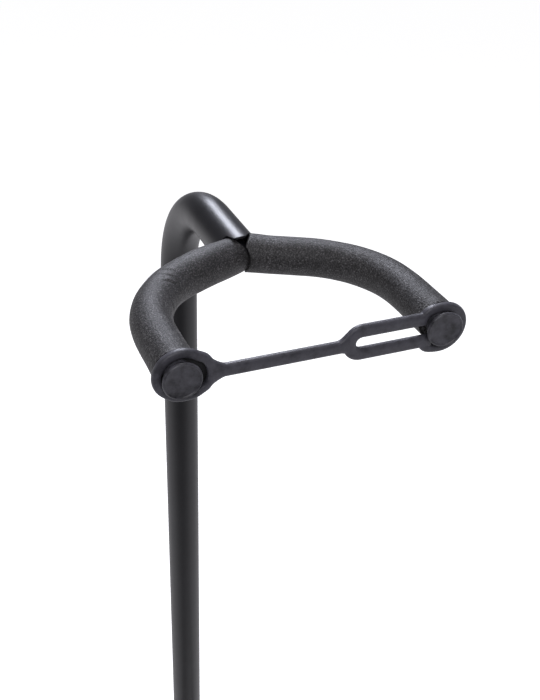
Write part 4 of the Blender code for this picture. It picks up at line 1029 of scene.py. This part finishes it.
def lock_knob():
    """Knob with five lobes and a domed middle, on its stud.

    Its edge lies at r = R - depth * (1 - cos 5t) / 2 from the axis.
    """
    neck_start = CLUTCH_BOSS_REACH + CLEARANCE
    head_start = neck_start + KNOB_NECK
    angle = np.linspace(0, 2 * math.pi, 200, endpoint=False)
    edge = KNOB_R - KNOB_LOBE_DEPTH * (1 - np.cos(KNOB_LOBES * angle)) / 2
    rows = []
    depths, insets = np.array(KNOB_EDGE).T
    depths = np.concatenate([depths, (KNOB_T - depths)[::-1]])
    for depth, inset in zip(depths, np.concatenate([insets, insets[::-1]])):
        flat = np.stack([(edge - inset) * np.cos(angle), (edge - inset) * np.sin(angle)], 1)
        at = shaft_point(0, head_start + depth, KNOB_Z)
        rows.append(at - flat[:, :1] * X + flat[:, 1:] * Z)
    lobed = skin("knob_surface", np.stack(rows))
    end = KNOB_NECK + KNOB_T
    sleeve = [(0, 0), (0, KNOB_CORE_R - 0.0004), (0.0004, KNOB_CORE_R), (end - 0.0001, KNOB_CORE_R)]
    dome = [
        (end + KNOB_DOME * 0.72, KNOB_CORE_R * 0.70),
        (end + KNOB_DOME * 0.96, KNOB_CORE_R * 0.35),
        (end + KNOB_DOME, 0),
    ]
    at = shaft_point(0, neck_start, KNOB_Z)
    middle = solid_turned("knob_middle", line_from(at, Y), sleeve + dome, 0.0006, 0.001, 96)
    socket_end = neck_start + KNOB_SOCKET
    hole = bar("socket", at - Y * 0.005, shaft_point(0, socket_end, KNOB_Z), STUD_R + CLEARANCE)
    put(joined_and_cut(lobed, [middle], [hole], KNOB_VOXEL), "knob", "knob_nylon", "lock_knob")

    stud_start = NECK_TUBE_R + PAD_T + 2 * CLEARANCE
    length = socket_end - CLEARANCE - stud_start
    profile = [(0, 0), (0, STUD_R - 0.001), (0.001, STUD_R), (length, STUD_R), (length, 0)]
    line = line_from(shaft_point(0, stud_start, KNOB_Z), Y)
    stud = solid_turned("stud", line, profile, 0.0002, 0.0005, 48)
    put(stud, "knob", "zinc", "knob_stud")


def outward(angle):
    """Level direction away from the shaft."""
    return np.array((math.cos(angle), math.sin(angle), 0))


def pivot_point(angle):
    """Where the leg on that side turns."""
    return SHAFT + outward(angle) * PIVOT_RADIUS + Z * PIVOT_Z


def screw_spots():
    """Seats of the four screws on the saddle cap's flanges."""
    offset = SADDLE_HALF_HEIGHT - SCREW_HEAD_R - 0.001
    return [
        shaft_point(x, CROSSBAR_Y - CLEARANCE / 2 - SADDLE_FLANGE_T, CROSSBAR_Z + z)
        for x in (-SCREW_SPACING / 2, SCREW_SPACING / 2)
        for z in (-offset, offset)
    ]


def bearing_cuts():
    """What is cut from both halves of the cradle's bearing: bore, stop slot and screw holes."""
    side = X * SADDLE_WIDTH
    middle = shaft_point(0, CROSSBAR_Y, CROSSBAR_Z)
    half = STOP_PIN_R + CLEARANCE
    low_corner = middle - (half, 2 * STOP_PIN_REACH, half)
    slot = box("stop_slot", low_corner, middle + (half, 2 * half, 2 * SADDLE_HALF_HEIGHT))
    cuts = [bar("bore", middle - side, middle + side, CRADLE_TUBE_R + CLEARANCE, 72), slot]
    for spot in screw_spots():
        end = spot + Y * (SCREW_LENGTH + CLEARANCE)
        cuts.append(bar("screw_hole", spot - Y * 0.002, end, SCREW_R + CLEARANCE, 32))
    return cuts


def hub():
    """Moulded hub: a sleeve on the upright, three forks for the legs and half the cradle's bearing.

    A fork is a lug with a slot. The slot is round over the tongue's open position and straight
    from there down, on both sides of the way along which the leg folds.
    """
    line = line_from(shaft_point(0, 0, HUB_BOTTOM_Z), Z)
    wall = tube_profile(0, HUB_TOP_Z - HUB_BOTTOM_Z, HUB_R, OUTER_TUBE_R + CLEARANCE)
    sleeve = hollow_turned("hub_surface", line, wall, 0.0008, 0.004, 96)
    pivot = (PIVOT_RADIUS, PIVOT_Z)
    nose = round_arc(pivot, LUG_R, -math.pi / 2, math.pi / 2, 40)
    foot, head = (LUG_ROOT_R, PIVOT_Z - LUG_R - LUG_FLARE), (LUG_ROOT_R, PIVOT_Z + LUG_R + LUG_FLARE)
    lug = np.vstack([[foot], nose, [head]])
    over = round_arc(pivot, TONGUE_R + SLOT_ROOM, math.pi, LEG_TILT, 30)
    away = 3 * LUG_R
    below = [
        over[-1] + away * np.array((math.sin(LEG_TILT), -math.cos(LEG_TILT))),
        over[0] + (away, -2 * away),
        over[0] - (0, 2 * away),
    ]
    slot = np.vstack([over, below])
    added, removed = [], []
    for angle in LEG_ANGLES.values():
        out, at = outward(angle), pivot_point(angle)
        across = np.cross(Z, out) * LUG_WIDTH
        added.append(plate("lug", lug, LUG_WIDTH, SHAFT, out, Z))
        removed.append(plate("slot", slot, TONGUE_T + 2 * SLOT_ROOM, SHAFT, out, Z))
        removed.append(bar("pin_hole", at - across, at + across, PIN_R + CLEARANCE))
    face = CROSSBAR_Y + CLEARANCE / 2
    first = shaft_point(-SADDLE_WIDTH / 2, face, CROSSBAR_Z - SADDLE_HALF_HEIGHT)
    last = shaft_point(SADDLE_WIDTH / 2, -OUTER_TUBE_R - 0.002, CROSSBAR_Z + SADDLE_HALF_HEIGHT)
    added.append(box("saddle", first, last))
    removed += bearing_cuts()
    inside = shaft_point(0, HUB_R - 0.012, HUB_SCREW_Z)
    outside = shaft_point(0, HUB_R + 0.005, HUB_SCREW_Z)
    removed.append(bar("screw_hole", inside, outside, SCREW_R + CLEARANCE, 32))
    put(joined_and_cut(sleeve, added, removed, HUB_VOXEL, 6), "base", "nylon", "hub")
    seat, length = shaft_point(0, HUB_R + CLEARANCE, HUB_SCREW_Z), HUB_R - OUTER_TUBE_R + OUTER_TUBE_WALL
    screw("hub_screw", seat, length, Y)


def saddle_cap():
    """Front half of the bearing: a domed strap with two flanges, and its four screws."""
    back = CROSSBAR_Y - CLEARANCE / 2
    front = back - SADDLE_FLANGE_T
    lean = math.acos((CROSSBAR_Y - front) / DOME_R)
    dome = round_arc((CROSSBAR_Y, CROSSBAR_Z), DOME_R, math.pi - lean, math.pi + lean, 40)
    top, bottom = CROSSBAR_Z + SADDLE_HALF_HEIGHT, CROSSBAR_Z - SADDLE_HALF_HEIGHT
    outline = np.vstack([[(front, top)], dome, [(front, bottom), (back, bottom), (back, top)]])
    cap = plate("saddle_cap_surface", outline, SADDLE_WIDTH, SHAFT, Y, Z)
    cap = joined_and_cut(cap, [], bearing_cuts(), SADDLE_CAP_VOXEL)
    put(cap, "base", "nylon", "saddle_cap")
    for number, spot in enumerate(screw_spots(), 1):
        screw(f"saddle_screw_{number}", spot - Y * CLEARANCE, SCREW_LENGTH, -Y)


def screw(name, seat, length, out):
    """Round-headed screw with a cross recess, its head resting at its seat."""
    t, r = SCREW_HEAD_T, SCREW_HEAD_R
    head = [(t, 0), (t * 0.97, r * 0.35), (t * 0.80, r * 0.68), (t * 0.35, r * 0.97), (0, r)]
    profile = [*head, (0, SCREW_R), (-length, SCREW_R), (-length, 0)]
    body = solid_turned(name + "_surface", line_from(seat, out), profile, 0.0002, 0.001, 48)
    wide, narrow = r * 0.62, 0.00042
    floor = seat + out * t * 0.35
    top = seat + out * t * 1.5
    cross = []
    for x, z in ((wide, narrow), (narrow, wide)):
        half = np.array((x, 0, z))
        cross.append(box("recess", floor - half, top + half))
    put(joined_and_cut(body, [], cross), "base", "zinc", name)


def leg(name, angle):
    """Leg tube, its knuckle in the hub's fork, the rivet it turns on and a rubber foot."""
    out, at, body = outward(angle), pivot_point(angle), "leg_" + name
    pin_axis = np.cross(Z, out)
    along = out * math.sin(LEG_TILT) - Z * math.cos(LEG_TILT)
    side = np.cross(pin_axis, along)
    line = line_from(at, along)

    plug_r = LEG_TUBE_R - LEG_TUBE_WALL - CLEARANCE
    shoulder = LEG_TUBE_START - CLEARANCE
    plug_end, collar = shoulder + KNUCKLE_PLUG, shoulder - COLLAR_T
    root = shoulder - COLLAR_T / 2
    tip = round_arc((0, 0), TONGUE_R, math.pi, 2 * math.pi, 40)
    tongue = np.vstack([tip, [(TONGUE_R, root), (-TONGUE_R, root)]])
    flat = plate("knuckle_" + name, tongue, TONGUE_T, at, side, along)
    shank = [(plug_end, 0), (plug_end, plug_r - 0.001), (plug_end - 0.001, plug_r), (shoulder, plug_r)]
    step = [(shoulder, LEG_TUBE_R), (collar + 0.001, LEG_TUBE_R), (collar, LEG_TUBE_R - 0.001), (collar, 0)]
    plug = solid_turned("plug", line, shank + step, 0.0004, 0.002, 72)
    hole = bar("hole", at - pin_axis * TONGUE_T, at + pin_axis * TONGUE_T, PIN_R + CLEARANCE)
    knuckle = joined_and_cut(flat, [plug], [hole], KNUCKLE_VOXEL)
    put(knuckle, body, "nylon", "leg_knuckle_" + name)

    under = LUG_WIDTH / 2 + CLEARANCE
    t, r = PIN_HEAD_T, PIN_HEAD_R
    rivet = [(under + t, 0), (under + t * 0.92, r * 0.42), (under + t * 0.55, r * 0.82)]
    rivet += [(under, r), (under, PIN_R)]
    rivet += [(-s, r) for s, r in rivet[::-1]]
    pin = solid_turned("rivet_" + name, line_from(at, pin_axis), rivet, 0.0003, 0.001, 48)
    put(pin, "base", "zinc", "leg_pin_" + name)

    sole = (FOOT_SOLE + LEG_TUBE_R * math.sin(LEG_TILT)) / math.cos(LEG_TILT)
    tube_end = LEG_TO_FLOOR - sole
    wall = tube_profile(LEG_TUBE_START, tube_end, LEG_TUBE_R, LEG_TUBE_R - LEG_TUBE_WALL)
    tube = hollow_turned("leg_surface_" + name, line, wall, 0.0003, 0.004, 72)
    put(tube, body, "black_paint", "leg_tube_" + name)

    foot_r, bore = LEG_TUBE_R + FOOT_WALL, LEG_TUBE_R + CLEARANCE
    end, mouth = LEG_TO_FLOOR + FOOT_OVERHANG, tube_end - FOOT_SOCKET
    dome = [(end, 0), (end - FOOT_DOME * 0.07, foot_r * 0.55), (end - FOOT_DOME * 0.37, foot_r * 0.85)]
    skirt = [(end - FOOT_DOME, foot_r), (mouth + FOOT_TAPER, foot_r), (mouth, foot_r - FOOT_TAPER * 0.3)]
    socket = [(mouth, bore), (tube_end + CLEARANCE, bore), (tube_end + CLEARANCE, 0)]
    profile = dome + skirt + socket
    foot = solid_turned("foot_surface_" + name, line, profile, 0.0008, 0.001, 72)
    ground = box("under_floor", SHAFT - (0.5, 0.5, 0.5), SHAFT + (0.5, 0.5, 0))
    put(joined_and_cut(foot, [], [ground]), body, "foot_rubber", "foot_" + name)


def cradle():
    """Bent tube that carries the guitar's body, with foam, end caps and a stop pin."""
    middle = shaft_point(0, CROSSBAR_Y, CROSSBAR_Z)
    half = route(
        middle,
        X,
        [
            ("run", CRADLE_HALF_WIDTH - CRADLE_CORNER_R),
            ("bend", CRADLE_CORNER_R, -Z, math.pi / 2),
            ("run", CRADLE_REACH - CRADLE_CORNER_R - CRADLE_TIP_R),
            ("bend", CRADLE_TIP_R, -X, CRADLE_TIP_ANGLE),
            ("run", CRADLE_TIP_RUN),
        ],
    )
    path = np.vstack([mirrored(half)[:0:-1], half])
    total = walked_along(half)[-1]
    first, last = CRADLE_CAP_FACE + CLEARANCE, 2 * total - CRADLE_CAP_FACE - CLEARANCE
    wall = tube_profile(first, last, CRADLE_TUBE_R, CRADLE_TUBE_R - CRADLE_TUBE_WALL)
    tube = hollow_turned("cradle_surface", path, wall, 0.0003, 0.0025, 64)
    put(tube, "cradle", "black_paint", "cradle_tube")

    reach, r = STOP_PIN_REACH, STOP_PIN_R
    tip = [(reach, 0), (reach, r - 0.0004), (reach - 0.0004, r)]
    profile = [*tip, (STOP_PIN_DEPTH, r), (STOP_PIN_DEPTH, 0)]
    pin = solid_turned("stop_pin", line_from(middle, -Y), profile, 0.0002, 0.001, 40)
    put(pin, "cradle", "zinc", "cradle_stop_pin")

    start = CRADLE_HALF_WIDTH - CRADLE_CORNER_R + CRADLE_CORNER_R * math.pi / 2 + CRADLE_FOAM_GAP
    end = total - CRADLE_CAP_T - CLEARANCE
    bore = CRADLE_TUBE_R + CLEARANCE
    wall = tube_profile(start, end, CRADLE_FOAM_R, bore)
    r, depth = CRADLE_FOAM_R, CRADLE_CAP_T
    dome = [(0, 0), (depth * 0.02, r * 0.45), (depth * 0.12, r * 0.80), (depth * 0.40, r * 0.98)]
    skirt = [(depth * 0.55, r), (depth, r), (depth, bore)]
    profile = [*dome, *skirt, (CRADLE_CAP_FACE, bore), (CRADLE_CAP_FACE, 0)]
    for side, points, seed in (("left", mirrored(half), 5), ("right", half, 12)):
        waves = ripple(seed, CRADLE_WAVE)
        foam = hollow_turned("cradle_sleeve_" + side, points, wall, 0.0009, 0.0008, 96, waves)
        put(foam, "cradle", "foam", "cradle_foam_" + side)
        line = line_from(points[-1], unit(points[-2] - points[-1]))
        end_cap = solid_turned("end_cap_" + side, line, profile, 0.0006, 0.001, 80)
        put(end_cap, "cradle", "cap_rubber", "cradle_cap_" + side)


def dress_frame():
    """Gives every CAD node its finish."""
    slots = {s["node"]: s["material_slot"] for s in frame["record"]["subparts"]}
    for name, obj in frame["nodes"].items():
        obj.data.materials.clear()
        obj.data.materials.append(FINISHES[slots[name]])


def camera():
    """Looks from the front, a little from the left and well above, with a slight roll."""
    a, e, roll = CAMERA_AZIMUTH, CAMERA_ELEVATION, CAMERA_ROLL
    back = Vector((math.sin(a) * math.cos(e), -math.cos(a) * math.cos(e), math.sin(e)))
    right = Vector((math.cos(a), math.sin(a), 0))
    up = back.cross(right)
    across = math.cos(roll) * right + math.sin(roll) * up
    above = math.cos(roll) * up - math.sin(roll) * right
    data = bpy.data.cameras.new("camera")
    data.lens = CAMERA_LENS
    data.clip_start, data.clip_end = 0.01, 50
    obj = bpy.data.objects.new("camera", data)
    bpy.context.collection.objects.link(obj)
    turned = Matrix((across, above, back)).transposed().to_4x4()
    turned.translation = shaft_point(0, 0, ROD_Z - GOOSENECK_R) + CAMERA_FROM_BEND
    obj.matrix_world = turned
    bpy.context.scene.camera = obj


def soft_box(name, place, aim, size, watts, color):
    """A rectangular area lamp that faces a point."""
    data = bpy.data.lights.new(name, "AREA")
    data.shape = "RECTANGLE"
    data.size, data.size_y = size
    data.energy = watts
    data.color = color
    obj = bpy.data.objects.new(name, data)
    bpy.context.collection.objects.link(obj)
    obj.location = place
    obj.rotation_mode = "QUATERNION"
    obj.rotation_quaternion = (Vector(aim) - Vector(place)).to_track_quat("-Z", "Y")


def soft_step(tree, value, source, target):
    """A smooth step of a node's output from one range to another."""
    names = ("From_Min", "From_Max", "To_Min", "To_Max")
    step = new_node(tree, "MapRange", **dict(zip(names, (*source, *target))))
    step.interpolation_type = "SMOOTHSTEP"
    tree.links.new(value, step.inputs["Value"])
    return step.outputs["Result"]


def surroundings():
    """White for the camera; for all else a fill that is darker in front and above.

    The fill's strength is a level that rises with the cosine to AWAY_FROM_FRONT, times a share
    that falls with the height of the direction.
    """
    world = bpy.data.worlds.new("studio")
    bpy.context.scene.world = world
    world.use_nodes = True
    tree = world.node_tree
    tree.nodes.clear()
    link = tree.links.new
    toward = new_node(tree, "TexCoord").outputs["Generated"]
    away = new_node(tree, "VectorMath")
    away.operation = "DOT_PRODUCT"
    away.inputs[1].default_value = AWAY_FROM_FRONT
    parts = new_node(tree, "SeparateXYZ")
    link(toward, away.inputs[0])
    link(toward, parts.inputs[0])
    strength = new_node(tree, "Math")
    strength.operation = "MULTIPLY"
    link(soft_step(tree, away.outputs["Value"], *LEVEL_STEP), strength.inputs[0])
    link(soft_step(tree, parts.outputs["Z"], *SHARE_STEP), strength.inputs[1])
    fill = new_node(tree, "Background", Color=(*LAMP_COLOR, 1))
    link(strength.outputs[0], fill.inputs["Strength"])
    seen = new_node(tree, "Background", Color=(1, 1, 1, 1), Strength=1.0)
    mixed = new_node(tree, "MixShader")
    link(new_node(tree, "LightPath").outputs["Is Camera Ray"], mixed.inputs["Fac"])
    link(fill.outputs[0], mixed.inputs[1])
    link(seen.outputs[0], mixed.inputs[2])
    link(mixed.outputs[0], new_node(tree, "OutputWorld").inputs["Surface"])


def paper_floor():
    """Pale paper that looks lit from within to the camera alone, and casts no reflection."""
    half = FLOOR_HALF
    mesh = bpy.data.meshes.new("floor")
    corners = [(-half, -half, 0), (half, -half, 0), (half, half, 0), (-half, half, 0)]
    mesh.from_pydata(corners, [], [(0, 1, 2, 3)])
    floor = bpy.data.objects.new("floor", mesh)
    floor.location.z = FLOOR_Z
    floor.visible_glossy = False
    bpy.context.collection.objects.link(floor)
    white = (1, 1, 1, 1)
    paper = Finish("pale paper", Base_Color=(0.82, 0.82, 0.82, 1), Roughness=0.9, Emission_Color=white)
    lift = new_node(paper.tree, "Math")
    lift.operation = "MULTIPLY"
    lift.inputs[1].default_value = FLOOR_LIFT
    rays = new_node(paper.tree, "LightPath")
    paper.tree.links.new(rays.outputs["Is Camera Ray"], lift.inputs[0])
    paper.into("Emission Strength", lift.outputs[0])
    mesh.materials.append(paper.material)


def lamps():
    """Soft lamps round the yoke, each at its distance in its direction."""
    aim = shaft_point(0, -0.10, ROD_Z)
    for name, direction, distance, size, watts, color in LAMPS:
        place = aim + unit(np.array(direction, float)) * distance
        soft_box(name, place, aim, size, watts, color)
    bpy.context.scene.view_settings.view_transform = "Standard"


dress_frame()
camera()
neck_tube()
yoke_sleeves()
yoke_caps()
eyelet_lip()
strap()
tube_inside()
outer_tube()
clutch()
lock_knob()
hub()
saddle_cap()
cradle()
for leg_name, leg_angle in LEG_ANGLES.items():
    leg(leg_name, leg_angle)
surroundings()
paper_floor()
lamps()
